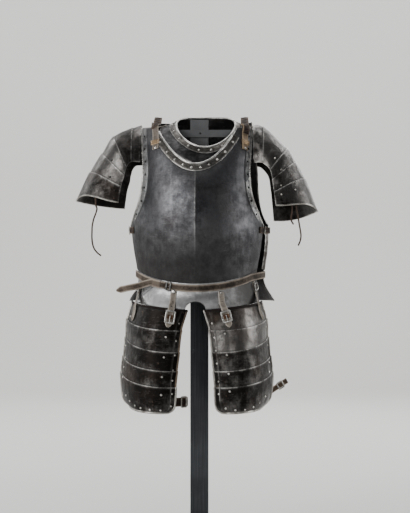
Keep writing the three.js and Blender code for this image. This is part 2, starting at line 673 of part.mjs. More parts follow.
function makeTassetStraps() {
  TASSET_STRAPS.forEach(({ name, side, topX, lowX, buckleAt, buckleLength }) => {
    const thigh = new THREE.Vector3(side * 100, -60, 620);
    const { plate } = lameOf((u, s) => tassetAt(side, u, s), thigh, 0);
    const onFauld = (z, height) => {
      const u = (side * turnFor(CHEST, z + 20, topX)) / SIDE_LIMIT;
      return skirtStation(FAULD_PLATE, u, z, height);
    };
    const onTasset = (s, share, height) => {
      const turn = tassetTurn(s, topX + (lowX - topX) * share);
      return station(plate, turn, s, height);
    };
    const top = beltHeight(turnFor(CHEST, 720, topX) / SIDE_LIMIT) - BELT.width / 2 - 5;
    const stations = [
      onFauld(top, 1.3),
      onFauld(top - 16, 1.1),
      onFauld(top - 30, 1.5),
      onTasset(0.03, 0.42, 3.6),
      onTasset(0.14, 0.48, 2.9),
      onTasset(0.35, 0.6, 1.5),
      onTasset(0.6, 0.8, 1),
      onTasset(0.85, 1, 1),
    ];
    const size = { width: TASSET_STRAP_WIDTH, thickness: LEATHER, steps: 14, tip: 0.3 };
    add(armour, `tasset_strap_${name}`, ribbon(stations, size), TAN_LEATHER);
    const along = stations[buckleAt + 1].point.clone().sub(stations[buckleAt - 1].point);
    const buckle = { ...TASSET_BUCKLE, length: buckleLength, height: LEATHER + BUCKLE_RISE };
    add(armour, `tasset_buckle_${name}`, frameOn(stations[buckleAt], along, buckle), IRON);
  });
}

function makeSideStraps() {
  const { width, z } = SIDE_STRAP;
  [-1, 1].forEach((side) => {
    const onBreast = (turn, height) => station(CHEST_PLATE, side * turn, z, height);
    const onBack = (turn, height) => station(BACK_PLATE, side * turn, z, height);
    const stations = [
      onBreast(70, 1.2),
      onBreast(78, 1.4),
      onBreast(86, 1.5),
      onBack(86, 1.5),
      onBack(70, 1.6),
      onBack(52, 1.4),
    ];
    const strap = ribbon(stations, { width, thickness: LEATHER, steps: 14 });
    add(armour, `side_strap_${side < 0 ? 'left' : 'right'}`, strap, BROWN_LEATHER);
  });
}

// Hidden leathers that carry the pauldrons from the gorget's shoulders
function makeHangers() {
  [-1, 1].forEach((side) => {
    const gorget = plateOf(gorgetAt, side * 100, 20, new THREE.Vector3(GORGET_X, GORGET_Y, 1000));
    const armpit = new THREE.Vector3(side * 190, 0, 960);
    const shoulder = plateOf((u, s) => pauldronAt(side, u, s), 10, 0.5, armpit);
    const under = -LAME - LEATHER - 1.2;
    const stations = [
      station(gorget, side * 104, 34),
      station(gorget, side * 104, 44),
      station(shoulder, 0, 0.3, under - 3.2),
      station(shoulder, 0, 0.62, under),
    ];
    const strap = ribbon(stations, { width: 18, thickness: LEATHER, steps: 8 });
    add(armour, `pauldron_hanger_${side < 0 ? 'left' : 'right'}`, strap, TAN_LEATHER);
  });
}

// Ends of the straps that close round the thigh, riveted inside the lowest lames
function makeThighStraps() {
  THIGH_STRAPS.forEach(({ end, side, turn, s, width, reach, lean, rise }) => {
    const thigh = new THREE.Vector3(side * 100, -60, 460);
    const { plate } = lameOf((u, v) => tassetAt(side, u, v), thigh, Math.floor(s));
    const inside = (back) => station(plate, turn - Math.sign(turn) * back, s, -LAME - LEATHER - 1.7);
    const edge = inside(0);
    const ahead = edge.point.clone().sub(inside(8).point).setZ(0).normalize();
    const bent = ahead.clone().applyAxisAngle(new THREE.Vector3(0, 0, 1), lean * DEGREE);
    const out = new THREE.Vector3(-bent.y, bent.x, 0);
    out.multiplyScalar(Math.sign(out.dot(edge.out)));
    const free = (share) => ({
      point: edge.point.clone()
        .addScaledVector(ahead, PAST_EDGE)
        .addScaledVector(bent, reach * share)
        .setZ(edge.point.z + rise * share),
      out,
    });
    const stations = [inside(26), inside(13), edge, free(0), free(0.5), free(1)];
    const strap = ribbon(stations, { width, thickness: LEATHER, steps: 10 });
    add(armour, `thigh_strap_${end}`, strap, TAN_LEATHER);
    const ring = { length: 20, width: width + 7, bar: 4, thick: 3, height: LEATHER + GAP };
    const along = free(1).point.sub(free(0).point);
    add(armour, `thigh_buckle_${end}`, frameOn(free(0.6), along, ring), IRON);
  });
}

// Leather laces that hang inside the lowest pauldron lames
function makeLaces() {
  const section = new THREE.Shape().absarc(0, 0, LACE.diameter / 2, 0, 2 * Math.PI);
  Object.entries(LACE.routes).forEach(([name, route]) => {
    const points = route.map(([x, y, z]) => new THREE.Vector3(x, y, z));
    const extrudePath = new THREE.CatmullRomCurve3(points);
    const steps = Math.round(extrudePath.getLength() / (2.5 * LACE.diameter));
    const tube = new THREE.ExtrudeGeometry(section, { extrudePath, steps, curveSegments: 8 });
    add(hanging, `lace_${name}`, tube, BROWN_LEATHER);
  });
}

makeStand();
makeBody();
makeLames();
makeShoulderStraps();
makeBelt();
makeTassetStraps();
makeSideStraps();
makeHangers();
makeThighStraps();
makeLaces();

const model = new THREE.Group();
model.add(stand, armour, hanging);
export default model;
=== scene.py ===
# Half armour on a post stand, dressed over its solids.
# Metres and degrees, Z up. The front faces -Y, and left and right are as seen from the front.
import math
from functools import partial
import bpy
import numpy as np
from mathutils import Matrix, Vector


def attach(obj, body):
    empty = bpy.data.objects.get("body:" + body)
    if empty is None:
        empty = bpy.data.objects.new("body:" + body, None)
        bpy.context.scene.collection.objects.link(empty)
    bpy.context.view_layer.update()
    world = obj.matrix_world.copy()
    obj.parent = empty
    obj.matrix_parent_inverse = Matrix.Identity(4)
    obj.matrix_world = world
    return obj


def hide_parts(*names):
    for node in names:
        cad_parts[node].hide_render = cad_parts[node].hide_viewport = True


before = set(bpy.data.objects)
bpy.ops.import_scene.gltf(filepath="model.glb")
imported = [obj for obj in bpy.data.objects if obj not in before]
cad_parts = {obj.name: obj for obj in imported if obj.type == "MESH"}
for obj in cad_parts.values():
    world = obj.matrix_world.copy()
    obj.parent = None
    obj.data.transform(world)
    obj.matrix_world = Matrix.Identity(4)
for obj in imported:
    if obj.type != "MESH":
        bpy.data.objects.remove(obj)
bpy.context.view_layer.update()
rng = np.random.default_rng(7)
SIDES = ((-1, "left"), (1, "right"))


def table(columns, *rows):
    """A table with named columns, as arrays."""
    return dict(zip(columns.split(), np.array(rows, float).T))


# Camera, fitted to the photograph
CAMERA = {"distance": 4.0, "azimuth": 1.5, "height": 0.795, "focal_px": 1428.6, "shift_px": 5.5}
PHOTO_HIGH = 513
SENSOR = 36.0

# The plates, as in the solids
STEEL = 0.0022
LAME = 0.0018
LEATHER = 0.0026
GAP = 0.0005
TUCK_GAP = 0.001
ARMOUR_X = -0.006
SIDE_LIMIT = 86
LAP = 0.22
LAP_STEP = 0.00295
LAMES = 5
CHEST = table(
    "z half front keel",
    (0.700, 0.163, -0.176, 0.02),
    (0.760, 0.168, -0.190, 0.06),
    (0.820, 0.178, -0.201, 0.17),
    (0.880, 0.184, -0.203, 0.22),
    (0.950, 0.182, -0.195, 0.22),
    (1.010, 0.174, -0.174, 0.16),
    (1.045, 0.169, -0.155, 0.08),
    (1.085, 0.164, -0.132, 0),
    (1.150, 0.158, -0.094, 0),
)
CHEST_SIDE_Y = -0.008
WAIST = {"side": 0.762, "dip": 0.039}
NECKLINE = {"low": 1.043, "rise": 0.080, "half": 0.097}
ARMHOLE = table(
    "z x",
    (0.885, 0.182), (0.905, 0.171), (0.929, 0.161), (0.950, 0.1535), (0.985, 0.1465),
    (1.035, 0.144), (1.085, 0.147), (1.150, 0.150),
)
UNDERARM = ARMHOLE["z"][0]
BACK = table(
    "z half rear",
    (0.700, 0.172, 0.092),
    (0.760, 0.178, 0.098),
    (0.820, 0.186, 0.112),
    (0.880, 0.188, 0.128),
    (0.950, 0.186, 0.138),
    (1.020, 0.178, 0.136),
    (1.080, 0.168, 0.124),
    (1.130, 0.159, 0.104),
    (1.172, 0.152, 0.076),
)
BACK_SHIFT = 0.012
BACK_SIDE_Y = 0.004
BACK_WAIST = 0.758
BACK_NECK = {"low": 1.142, "rise": 0.030, "half": 0.092}
SPINE = {"depth": 0.006, "half": 0.026}
BACK_ARMHOLE = table(
    "z x",
    (0.880, 0.187), (0.905, 0.173), (0.940, 0.163), (0.985, 0.158), (1.035, 0.156), (1.085, 0.151),
    (1.172, 0.140),
)
FAULD = {"tuck": 0.008, "half": 0.172, "front": -0.203, "low": 0.653, "side_rise": 0.018, "straight": 0.4}
ARCH = {"half": 0.027, "rise": 0.021}
SKIRT = {"tuck": 0.008, "half": 0.205, "rear": 0.128, "low": 0.672, "straight": 0.33}
FLARE_END = 1.3
GORGET_CENTRE = (0.024, -0.025, 1.0)
NECK = 0.082
NECK_RIM = {"mid": 1.161, "tilt": 0.047, "droop": 0.021}
GORGET_REACH = table(
    "turn length",
    (-180, 0.060), (-130, 0.046), (-95, 0.046), (-78, 0.047), (-60, 0.055), (-38, 0.057),
    (0, 0.050), (38, 0.032), (62, 0.019), (78, 0.024), (95, 0.046), (130, 0.046), (180, 0.060),
)
PAULDRON_COLUMNS = "s end_x end_z crown_x crown_z depth arch drop"
PAULDRON_RIBS = {
    -1: table(
        PAULDRON_COLUMNS,
        (0, 0.156, 1.052, 0.156, 1.163, 0.072, 0, 0),
        (1, 0.181, 1.052, 0.180, 1.154, 0.083, 0, 0.002),
        (2, 0.191, 1.036, 0.233, 1.131, 0.096, 0, 0.004),
        (3, 0.195, 1.014, 0.267, 1.082, 0.101, 0.002, 0.006),
        (4, 0.203, 0.985, 0.301, 1.029, 0.104, 0.005, 0.008),
        (5, 0.209, 0.942, 0.340, 0.950, 0.112, 0.015, 0.010),
    ),
    1: table(
        PAULDRON_COLUMNS,
        (0, 0.156, 1.050, 0.156, 1.163, 0.072, 0, 0),
        (1, 0.182, 1.048, 0.184, 1.157, 0.083, 0, 0.004),
        (2, 0.200, 1.029, 0.251, 1.096, 0.097, 0, 0.008),
        (3, 0.205, 1.003, 0.275, 1.058, 0.102, 0.002, 0.012),
        (4, 0.209, 0.970, 0.300, 1.010, 0.105, 0.005, 0.018),
        (5, 0.213, 0.934, 0.336, 0.921, 0.113, 0.013, 0.036),
    ),
}
PAULDRON_Y = 0.004
PAULDRON_END = 88
TASSET_RIBS = table(
    "s in_x out_x in_z out_z bow front_y out_y",
    (0, 0.022, 0.178, 0.6505, 0.668, 1.1, -0.202, -0.052),
    (1, 0.038, 0.190, 0.597, 0.623, 2, -0.207, -0.054),
    (2, 0.044, 0.194, 0.539, 0.573, 2, -0.212, -0.056),
    (3, 0.049, 0.200, 0.489, 0.521, 2, -0.216, -0.058),
    (4, 0.052, 0.206, 0.446, 0.478, 2, -0.219, -0.060),
    (4.6, 0.0535, 0.204, 0.406, 0.424, 2, -0.221, -0.063),
    (4.85, 0.0575, 0.197, 0.389, 0.401, 2, -0.222, -0.074),
    (5, 0.072, 0.180, 0.3795, 0.388, 2, -0.222, -0.098),
)
INNER, OUTER = -28, 80

# Straps and cords, as in the solids
SHOULDER_STRAP = {"width": 0.020, "left": -0.111, "right": 0.132, "crest_y": 0.036, "crest_z": 1.181}
STRAP_PLATE = {"heights": (1.101, 1.107, 1.113), "thick": 0.0016}
BELT = {
    "width": 0.0195, "drop": 0.0135, "lift": 0.0017, "seat": 0.004,
    "front": (-0.8, -0.6, -0.4, -0.2, 0, 0.2, 0.4, 0.6, 0.74),
    "rear": (0.985, 0.8, 0.5, 0.2, -0.2, -0.5, -0.75),
}
BELT_BUCKLE = {"length": 0.016, "width": 0.026, "bar": 0.004, "thick": 0.004}
TASSET_STRAP_WIDTH = 0.0175
TASSET_BUCKLE = {"width": 0.028, "bar": 0.0045, "thick": 0.004}
BUCKLE_RISE = 0.0026
TASSET_STRAPS = (
    # name, side, top x, low x, buckle at station, buckle length, rivet's radius, its rise on the strap
    ("outer_left", -1, 0.154, 0.172, 1, 0.022, 0.0045, 0.0),
    ("inner_left", -1, 0.059, 0.074, 5, 0.036, 0.0074, 0.006),
    ("inner_right", 1, 0.068, 0.092, 5, 0.032, 0.0035, 0.0),
    ("outer_right", 1, 0.156, 0.180, 1, 0.022, 0.0035, 0.0),
)
SIDE_STRAP = {
    # front and rear: turn and lift of each station; studs: turn and height above the strap
    "width": 0.018, "z": 0.868,
    "front": ((70, 0.0012), (78, 0.0014), (86, 0.0015)),
    "rear": ((86, 0.0015), (70, 0.0016), (52, 0.0014)),
    "studs": ((72, 0.0), (66, 0.032), (72, 0.028)),
}
SIDE_BUCKLE = {"length": 0.020, "width": 0.024, "bar": 0.0032, "thick": 0.003}
HANGER = {"width": 0.018, "turn": 104, "slopes": (0.034, 0.044), "under": 0.0012, "dip": 0.0032}
THIGH_STRAPS = (
    # end, side, turn, s, width, reach, lean, rise, leather
    ("left", -1, -26, 4.6, 0.024, 0.036, 0, 0, "dark_leather"),
    ("right", 1, 78, 4.62, 0.015, 0.052, -60, 0.030, "brown_leather"),
)
THIGH_BUCKLE = {"length": 0.020, "bar": 0.004, "thick": 0.003}
THIGH_STRAP_GAP = 0.0017
PAST_EDGE = 0.011
LACE_DIAMETER = 0.0045
LACES = {
    "left": (
        (-0.2835, -0.0879, 0.959), (-0.283, -0.085, 0.946), (-0.283, -0.082, 0.936),
        (-0.280, -0.081, 0.927), (-0.283, -0.080, 0.914), (-0.289, -0.079, 0.898),
        (-0.293, -0.078, 0.880), (-0.294, -0.077, 0.862), (-0.294, -0.077, 0.844),
        (-0.292, -0.076, 0.828), (-0.287, -0.076, 0.815), (-0.279, -0.076, 0.805),
        (-0.270, -0.077, 0.798),
    ),
    "right": (
        (0.2624, -0.0883, 0.950), (0.266, -0.088, 0.936), (0.269, -0.086, 0.920),
        (0.272, -0.085, 0.903), (0.275, -0.084, 0.885), (0.278, -0.083, 0.868),
        (0.280, -0.082, 0.852), (0.278, -0.081, 0.838), (0.273, -0.081, 0.826),
    ),
    "right_short": (
        (0.2554, -0.0926, 0.9512), (0.255, -0.087, 0.938), (0.256, -0.084, 0.926),
        (0.255, -0.082, 0.914), (0.253, -0.081, 0.903), (0.254, -0.080, 0.893),
        (0.259, -0.080, 0.884),
    ),
}

# Detail that only the render has
ROLL = 0.0028
NECK_BAND = {"width": 0.018, "lift": 0.0012}
# The armhole bands and the ridge are painted lighter: painted light on the bands, the right one more, and a
# thin painted highlight on the ridge.
BORDER = {"width": 0.019, "raise": 0.0008, "flare": 0.0022, "highlight_and_wear": {"left": 0.75, "right": 1.0}}
RIDGE = {"left": 0.0014, "half": 0.0020, "highlight_and_wear": 0.36, "fade": (0.1, 0.45)}
SIDE_LAME = {"x": -0.161, "low": 0.676, "slope": 0.80, "step": 0.0022, "groove": 0.0028}
BACK_LIP = {"width": 0.014, "top": 0.27, "across": 0.62, "ahead": 0.78}
LEG_BAND = {"width": 0.021, "raise": 0.0011}
LEG_ROLL = {"inner": -27.0, "outer": 79.2, "low": 4.985, "lift": 0.0006, "radius": 0.0030}
TOP_PIPING = {"rise": 0.0036, "radius": 0.0032}
UPPER_STITCHES = (0.04, 0.2, 0.36, 0.52, 0.68, 0.84)
STITCH = (
    # place along the leather, share of its width, height in leathers
    (0, -0.5, 1.1), (0.05, 0, 1.25), (0.1, 0.5, 1.1),
)
STITCH_RADIUS = 0.0008
# painted light: the stand's paint turns lighter between these heights, as if lit from above
POST_TOP_LIGHT = {"heights": (0.98, 1.10), "colour": (0.095, 0.096, 0.098)}


def make_camera():
    data = bpy.data.cameras.new("camera")
    data.sensor_width = SENSOR
    data.lens = SENSOR * CAMERA["focal_px"] / PHOTO_HIGH
    data.shift_x = CAMERA["shift_px"] / PHOTO_HIGH
    camera = bpy.data.objects.new("camera", data)
    turn = math.radians(CAMERA["azimuth"])
    away = CAMERA["distance"]
    camera.location = (away * math.sin(turn), -away * math.cos(turn), CAMERA["height"])
    camera.rotation_euler = (math.pi / 2, 0, turn)
    bpy.context.collection.objects.link(camera)
    bpy.context.scene.camera = camera


make_camera()


# Curves, as the solids have them
def sin(turn):
    return np.sin(np.radians(turn))


def cos(turn):
    return np.cos(np.radians(turn))


def unit(v):
    return v / np.maximum(np.linalg.norm(v, axis=-1, keepdims=True), 1e-12)


def xyz(x, y, z):
    return np.stack(np.broadcast_arrays(x, y, z), -1).astype(float)


def smoothstep(value, low, high):
    t = np.clip((value - low) / (high - low), 0, 1)
    return t * t * (3 - 2 * t)


def near(value, place, width):
    """One at a place, and next to nothing a few widths away."""
    return np.exp(-(((value - place) / width) ** 2))


def hermite(t, a, b, start, end):
    """From a to b as t goes from 0 to 1, with the slopes start and end."""
    t2, t3 = t**2, t**3
    return (2 * t3 - 3 * t2 + 1) * a + (t3 - 2 * t2 + t) * start + (3 * t2 - 2 * t3) * b + (t3 - t2) * end


def spline(points, places, ring=False):
    """Points at places from 0 to 1 on a centripetal Catmull-Rom curve."""
    p = np.array(points, float)
    spans = len(p) if ring else len(p) - 1
    where = np.asarray(places, float) * spans
    i = np.clip(where.astype(int), 0, spans - 1)
    ends = (p[-1:], p[:2]) if ring else (2 * p[:1] - p[1:2], 2 * p[-1:] - p[-2:-1])
    full = np.vstack([ends[0], p, ends[1]])
    a, b, c, d = (full[i + k] for k in range(4))
    steps = (b - a, c - b, d - c)
    ab, bc, cd = (np.maximum(np.sqrt(np.linalg.norm(step, axis=1)), 1e-6)[:, None] for step in steps)
    start = ((b - a) / ab - (c - a) / (ab + bc) + (c - b) / bc) * bc
    end = ((c - b) / bc - (d - b) / (bc + cd) + (d - c) / cd) * bc
    return hermite((where - i)[:, None], b, c, start, end)


def look_up(rows, column, value):
    """Smooth value of one column of a table whose first column goes up."""
    x, y = next(iter(rows.values())), rows[column]
    rise, run = (padded[2:] - padded[:-2] for padded in (np.pad(y, 1, "edge"), np.pad(x, 1, "edge")))
    slope = rise / run
    place = np.clip(value, x[0], x[-1])
    i = np.clip(np.searchsorted(x, place, side="left") - 1, 0, len(x) - 2)
    span = x[i + 1] - x[i]
    return hermite((place - x[i]) / span, y[i], y[i + 1], span * slope[i], span * slope[i + 1])


def look_up_all(rows, value):
    """Every other column of such a table."""
    return [look_up(rows, column, value) for column in list(rows)[1:]]


# Materials
RUST = (0.075, 0.048, 0.034)
# the dark colour that painted shade and other darkening mix towards
DARKENING_COLOUR = (0.012, 0.010, 0.009)


class Nodes:
    """The node tree of a new material, with short names for the nodes that are used here."""

    def __init__(self, name):
        self.material = bpy.data.materials.new(name)
        self.material.use_nodes = True
        self.tree = self.material.node_tree
        self.place = self.add("TexCoord").outputs["Object"]

    def put(self, socket, value):
        if isinstance(value, bpy.types.NodeSocket):
            self.tree.links.new(value, socket)
        else:
            socket.default_value = (*value, 1.0) if socket.type == "RGBA" else value

    def add(self, kind, inputs=(), **settings):
        node = self.tree.nodes.new("ShaderNode" + kind)
        for key, value in settings.items():
            setattr(node, key, value)
        for key, value in dict(inputs).items():
            self.put(node.inputs[key], value)
        return node

    def finish(self, inputs):
        """The material, once its shader's sockets are set."""
        for key, value in inputs.items():
            self.put(self.tree.nodes["Principled BSDF"].inputs[key], value)
        return self.material

    def noise(self, scale, detail=4, stretch=(1, 1, 1), rough=0.55, turn=(0, 0, 0)):
        spot = self.add("Mapping", {"Vector": self.place, "Scale": stretch, "Rotation": turn})
        sockets = {"Vector": spot.outputs[0], "Scale": scale, "Detail": detail, "Roughness": rough}
        return self.add("TexNoise", sockets).outputs["Fac"]

    def ramp(self, value, low, high, bottom=0.0, top=1.0):
        sockets = {"Value": value, "From Min": low, "From Max": high, "To Min": bottom, "To Max": top}
        return self.add("MapRange", sockets, interpolation_type="SMOOTHSTEP").outputs["Result"]

    def math(self, operation, a, b):
        return self.add("Math", {0: a, 1: b}, operation=operation).outputs[0]

    def times(self, a, b):
        return self.math("MULTIPLY", a, b)

    def total(self, first, *pairs):
        """A value plus others, each given with its weight."""
        for value, weight in pairs:
            first = self.math("ADD", first, self.times(value, weight))
        return first

    def mix(self, factor, a, b):
        return self.add("Mix", data_type="RGBA", inputs={0: factor, 6: a, 7: b}).outputs[2]

    def attribute(self, name):
        return self.add("Attribute", attribute_name=name).outputs["Fac"]

    def bumps(self, *layers):
        """A normal from layers of height, strength and distance, the coarsest first."""
        below = {}
        for height, strength, distance in layers:
            node = self.add("Bump", {"Height": height, "Strength": strength, "Distance": distance, **below})
            below = {"Normal": node.outputs[0]}
        return below["Normal"]


def make_steel(name, dark, light, bright, rough, wear, rust, spread, dented):
    """Old plate: cloudy patina, pits, fine scratches, rust in the pits, bright worn edges, painted highlights
    and painted shade.
    """
    n = Nodes(name)
    mottle = n.noise(38, 6, rough=0.7)
    streaks = n.noise(9, 5, (14, 14, 1.4), turn=(0, 0.35, 0))
    hairs = n.noise(16, 3, (3, 3, 42), turn=(0.1, 0.25, 0))
    pits = n.noise(70, 8, rough=0.75)
    shade_and_darkening = n.attribute("shade_and_darkening")
    shade = n.total(n.attribute("tone"), (mottle, 0.6), (n.noise(5.5, 5, rough=0.62), 0.6), (streaks, 0.14))
    base = n.mix(n.ramp(shade, 0.67 - spread, 0.67 + spread), dark, light)
    brown = n.times(n.ramp(n.noise(8, 6, rough=0.7), 0.48, 0.72), 0.55)
    rusty = n.times(n.math("MAXIMUM", brown, n.ramp(pits, 0.60, 0.68)), rust)
    worn = n.times(n.times(n.attribute("edge"), n.ramp(mottle, 0.38, 0.60, 0.15, 1.0)), wear)
    worn = n.math("MAXIMUM", worn, n.times(n.ramp(hairs, 0.62, 0.72), 0.16))
    base = n.mix(worn, n.mix(rusty, base, RUST), bright)
    shine = n.ramp(shade, 0.55, 0.9, rough + 0.12, rough - 0.08)
    metal = n.ramp(rusty, 0.0, 1.0, 1.0, 0.55)
    dents = (n.noise(13, 2), dented, 0.006)
    marks = (n.noise(52, 4, rough=0.65), 0.1 + 0.45 * dented, 0.003)
    return n.finish({
        # the colour darkens with painted shade and other darkening
        "Base Color": n.mix(n.times(shade_and_darkening, 0.85), base, DARKENING_COLOUR),
        "Roughness": n.total(shine, (rusty, 0.25), (worn, -0.1), (shade_and_darkening, 0.3)),
        "Metallic": n.total(metal, (shade_and_darkening, -0.6), (worn, -0.55)),
        "Normal": n.bumps(dents, marks, (pits, 0.4, 0.0012), (hairs, 0.12, 0.0005)),
    })


def make_leather(name, dark, light, edge_colour):
    """Old strap leather: blotches, pebbled grain, cracks across, worn edges."""
    n = Nodes(name)
    blotch = n.noise(26, 5, rough=0.65)
    grain = n.noise(320, 3, rough=0.6)
    shade = n.total(n.attribute("tone"), (blotch, 0.8), (grain, 0.25))
    base = n.mix(n.ramp(shade, 0.38, 0.72), dark, light)
    crack = n.ramp(n.noise(60, 4, (1, 1, 5)), 0.34, 0.42, 1.0, 0.0)
    base = n.mix(n.times(crack, 0.5), base, [0.35 * c for c in dark])
    edge = n.times(n.attribute("edge"), n.ramp(blotch, 0.3, 0.6, 0.4, 0.9))
    pores = n.add("TexVoronoi", {"Vector": n.place, "Scale": 420}).outputs["Distance"]
    return n.finish({
        "Base Color": n.mix(edge, base, edge_colour),
        "Roughness": n.ramp(grain, 0.3, 0.7, 0.6, 0.85),
        "Specular IOR Level": 0.15,
        "Normal": n.bumps((pores, 0.25, 0.0006), (crack, -0.3, 0.0008), (blotch, 0.2, 0.0015)),
    })


def make_paint(name):
    """Worn dark metal paint with faint brush lines and scuffs, and painted light that lightens it towards the
    top.
    """
    n = Nodes(name)
    lines = n.noise(6, 4, (60, 60, 1))
    clouds = n.noise(9, 4)
    shade = n.total(n.times(lines, 0.6), (clouds, 0.5))
    base = n.mix(n.ramp(shade, 0.4, 0.75), (0.025, 0.027, 0.030), (0.066, 0.070, 0.077))
    scuff = n.times(n.ramp(n.noise(30, 7, rough=0.75), 0.62, 0.7), 0.4)
    height = n.add("SeparateXYZ", {"Vector": n.place}).outputs["Z"]
    painted_top_light = n.times(n.ramp(height, *POST_TOP_LIGHT["heights"]), n.ramp(clouds, 0.3, 0.6, 0.6, 1.0))
    return n.finish({
        "Base Color": n.mix(painted_top_light, n.mix(scuff, base, (0.16, 0.165, 0.17)), POST_TOP_LIGHT["colour"]),
        "Roughness": n.ramp(clouds, 0.3, 0.7, 0.42, 0.6),
        "Metallic": n.ramp(painted_top_light, 0.0, 1.0, 0.6, 0.1),
        "Normal": n.bumps((lines, 0.08, 0.0006)),
    })


STEELS = {
    # name: dark, light, bright, roughness, wear, rust, spread of the shades, dents
    "dark_steel": (
        (0.02, 0.019, 0.02), (0.095, 0.093, 0.094), (0.5, 0.49, 0.47), 0.37, 1.0, 0.5, 0.15, 0.8,
    ),
    "breast_steel": (
        (0.03, 0.03, 0.033), (0.135, 0.135, 0.142), (0.46, 0.46, 0.45), 0.4, 0.9, 0.35, 0.2, 0.3,
    ),
    "lame_steel": (
        (0.012, 0.0105, 0.0095), (0.125, 0.119, 0.113), (0.42, 0.405, 0.385), 0.37, 0.9, 0.8, 0.15, 0.8,
    ),
    "bright_steel": (
        (0.17, 0.168, 0.165), (0.5, 0.5, 0.5), (0.7, 0.7, 0.68), 0.44, 0.7, 0.25, 0.2, 0.35,
    ),
    "roll_steel": (
        (0.11, 0.106, 0.1), (0.46, 0.45, 0.43), (0.72, 0.71, 0.68), 0.3, 0.8, 0.4, 0.15, 0.3,
    ),
    "iron": (
        (0.09, 0.08, 0.07), (0.33, 0.31, 0.28), (0.6, 0.58, 0.54), 0.38, 0.9, 0.6, 0.15, 0.5,
    ),
    "band_steel": (
        (0.03, 0.027, 0.024), (0.165, 0.155, 0.142), (0.55, 0.535, 0.51), 0.37, 0.9, 0.7, 0.15, 0.5,
    ),
    "dark_rivet": (
        (0.006, 0.005, 0.005), (0.03, 0.028, 0.026), (0.06, 0.057, 0.054), 0.45, 0.3, 0.5, 0.15, 0.2,
    ),
    "rivet_steel": (
        (0.25, 0.24, 0.22), (0.6, 0.58, 0.55), (0.8, 0.78, 0.74), 0.3, 0.7, 0.3, 0.15, 0.2,
    ),
    "brass": (
        (0.13, 0.085, 0.05), (0.42, 0.3, 0.18), (0.72, 0.56, 0.4), 0.38, 0.8, 0.5, 0.15, 0.4,
    ),
}
LEATHERS = {
    # name: dark, light, worn edge
    "tan_leather": ((0.085, 0.07, 0.056), (0.265, 0.234, 0.198), (0.42, 0.385, 0.34)),
    "pale_leather": ((0.055, 0.045, 0.036), (0.18, 0.155, 0.13), (0.3, 0.27, 0.23)),
    "gold_leather": ((0.11, 0.078, 0.05), (0.34, 0.26, 0.18), (0.38, 0.29, 0.19)),
    "brown_leather": ((0.04, 0.027, 0.019), (0.14, 0.1, 0.07), (0.3, 0.235, 0.17)),
    "belt_leather": ((0.026, 0.019, 0.014), (0.125, 0.098, 0.076), (0.4, 0.34, 0.28)),
    "dark_leather": ((0.01, 0.006, 0.005), (0.045, 0.028, 0.022), (0.13, 0.095, 0.07)),
    "rust_leather": ((0.03, 0.014, 0.008), (0.12, 0.06, 0.034), (0.2, 0.12, 0.08)),
    "hole": ((0.002, 0.002, 0.002), (0.008, 0.006, 0.005), (0.01, 0.01, 0.01)),
}
MATERIALS = {name: make_steel(name, *row) for name, row in STEELS.items()}
MATERIALS.update({name: make_leather(name, *row) for name, row in LEATHERS.items()})
MATERIALS["paint"] = make_paint("paint")
SLOTS = {
    # the material in whose slot each of these would go; build looks this up but gives no piece a slot
    "breast_steel": "dark_steel", "lame_steel": "dark_steel", "band_steel": "dark_steel",
    "roll_steel": "bright_steel", "dark_rivet": "iron", "rivet_steel": "iron",
    "pale_leather": "tan_leather", "gold_leather": "tan_leather", "belt_leather": "brown_leather",
    "dark_leather": "brown_leather", "rust_leather": "brown_leather", "hole": "brown_leather",
}


# Meshes
def add_mesh(name, points, faces, material):
    mesh = bpy.data.meshes.new(name)
    mesh.from_pydata(points, [], faces)
    mesh.polygons.foreach_set("use_smooth", np.ones(len(mesh.polygons), bool))
    mesh.materials.append(material)
    piece = bpy.data.objects.new(name, mesh)
    bpy.context.collection.objects.link(piece)
    return piece


def build(name, points, faces, material, replaces=None, slot=None, shift=ARMOUR_X, **values):
    """A piece of the armour from its points and faces, riding on the root body."""
    piece = add_mesh(name, np.asarray(points, float) + (shift, 0, 0), faces, MATERIALS[material])
    for key, value in {"edge": 0.0, "shade_and_darkening": 0.0, "tone": rng.uniform(-0.05, 0.05), **values}.items():
        layer = piece.data.attributes.new(key, "FLOAT", "POINT")
        layer.data.foreach_set("value", np.zeros(len(points)) + value)
    slot or SLOTS.get(material, material)
    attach(piece, "root")
    if replaces:
        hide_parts(replaces)
    return piece


def grid_faces(rows, columns, ring=False):
    """Quads of a grid whose points are stored row by row."""
    r, c = np.indices((rows - 1, columns if ring else columns - 1)).reshape(2, -1)
    corners = ((r, c), (r, c + 1), (r + 1, c + 1), (r + 1, c))
    return np.stack([row * columns + column % columns for row, column in corners], 1)


def outward(points, faces):
    """The faces, turned over if the closed body they bound comes out inside out."""
    a, b, c, d = (points[faces[:, k]] for k in range(4))
    volume = (a * np.cross(b, c)).sum() + (a * np.cross(c, d)).sum()
    return faces[:, ::-1] if volume < 0 else faces


def directions(path, ring):
    """Unit steps along a path."""
    return unit(np.roll(path, -1, 0) - np.roll(path, 1, 0) if ring else np.gradient(path, axis=0))


def sweep(name, points, ring, material, **details):
    """A body from sections of points, joined into a ring or closed with a cap at each end."""
    rows, sides = points.shape[:2]
    flat = points.reshape(-1, 3)
    if ring:
        faces = outward(flat, grid_faces(rows + 1, sides, True) % (rows * sides))
    else:
        faces = outward(flat, grid_faces(rows, sides, True)).tolist()
        faces += [list(range(sides)), list(range((rows - 1) * sides, rows * sides))[::-1]]
    return build(name, flat, faces, material, **details)


# Surfaces: each gives points for two coordinates
def chest_at(turn, z, inset=0.0):
    half, front, keel = look_up_all(CHEST, z)
    share = (1 - keel) * cos(turn) + keel * (1 - np.abs(sin(turn)))
    return xyz((half - inset) * sin(turn), CHEST_SIDE_Y + (front + inset - CHEST_SIDE_Y) * share, z)


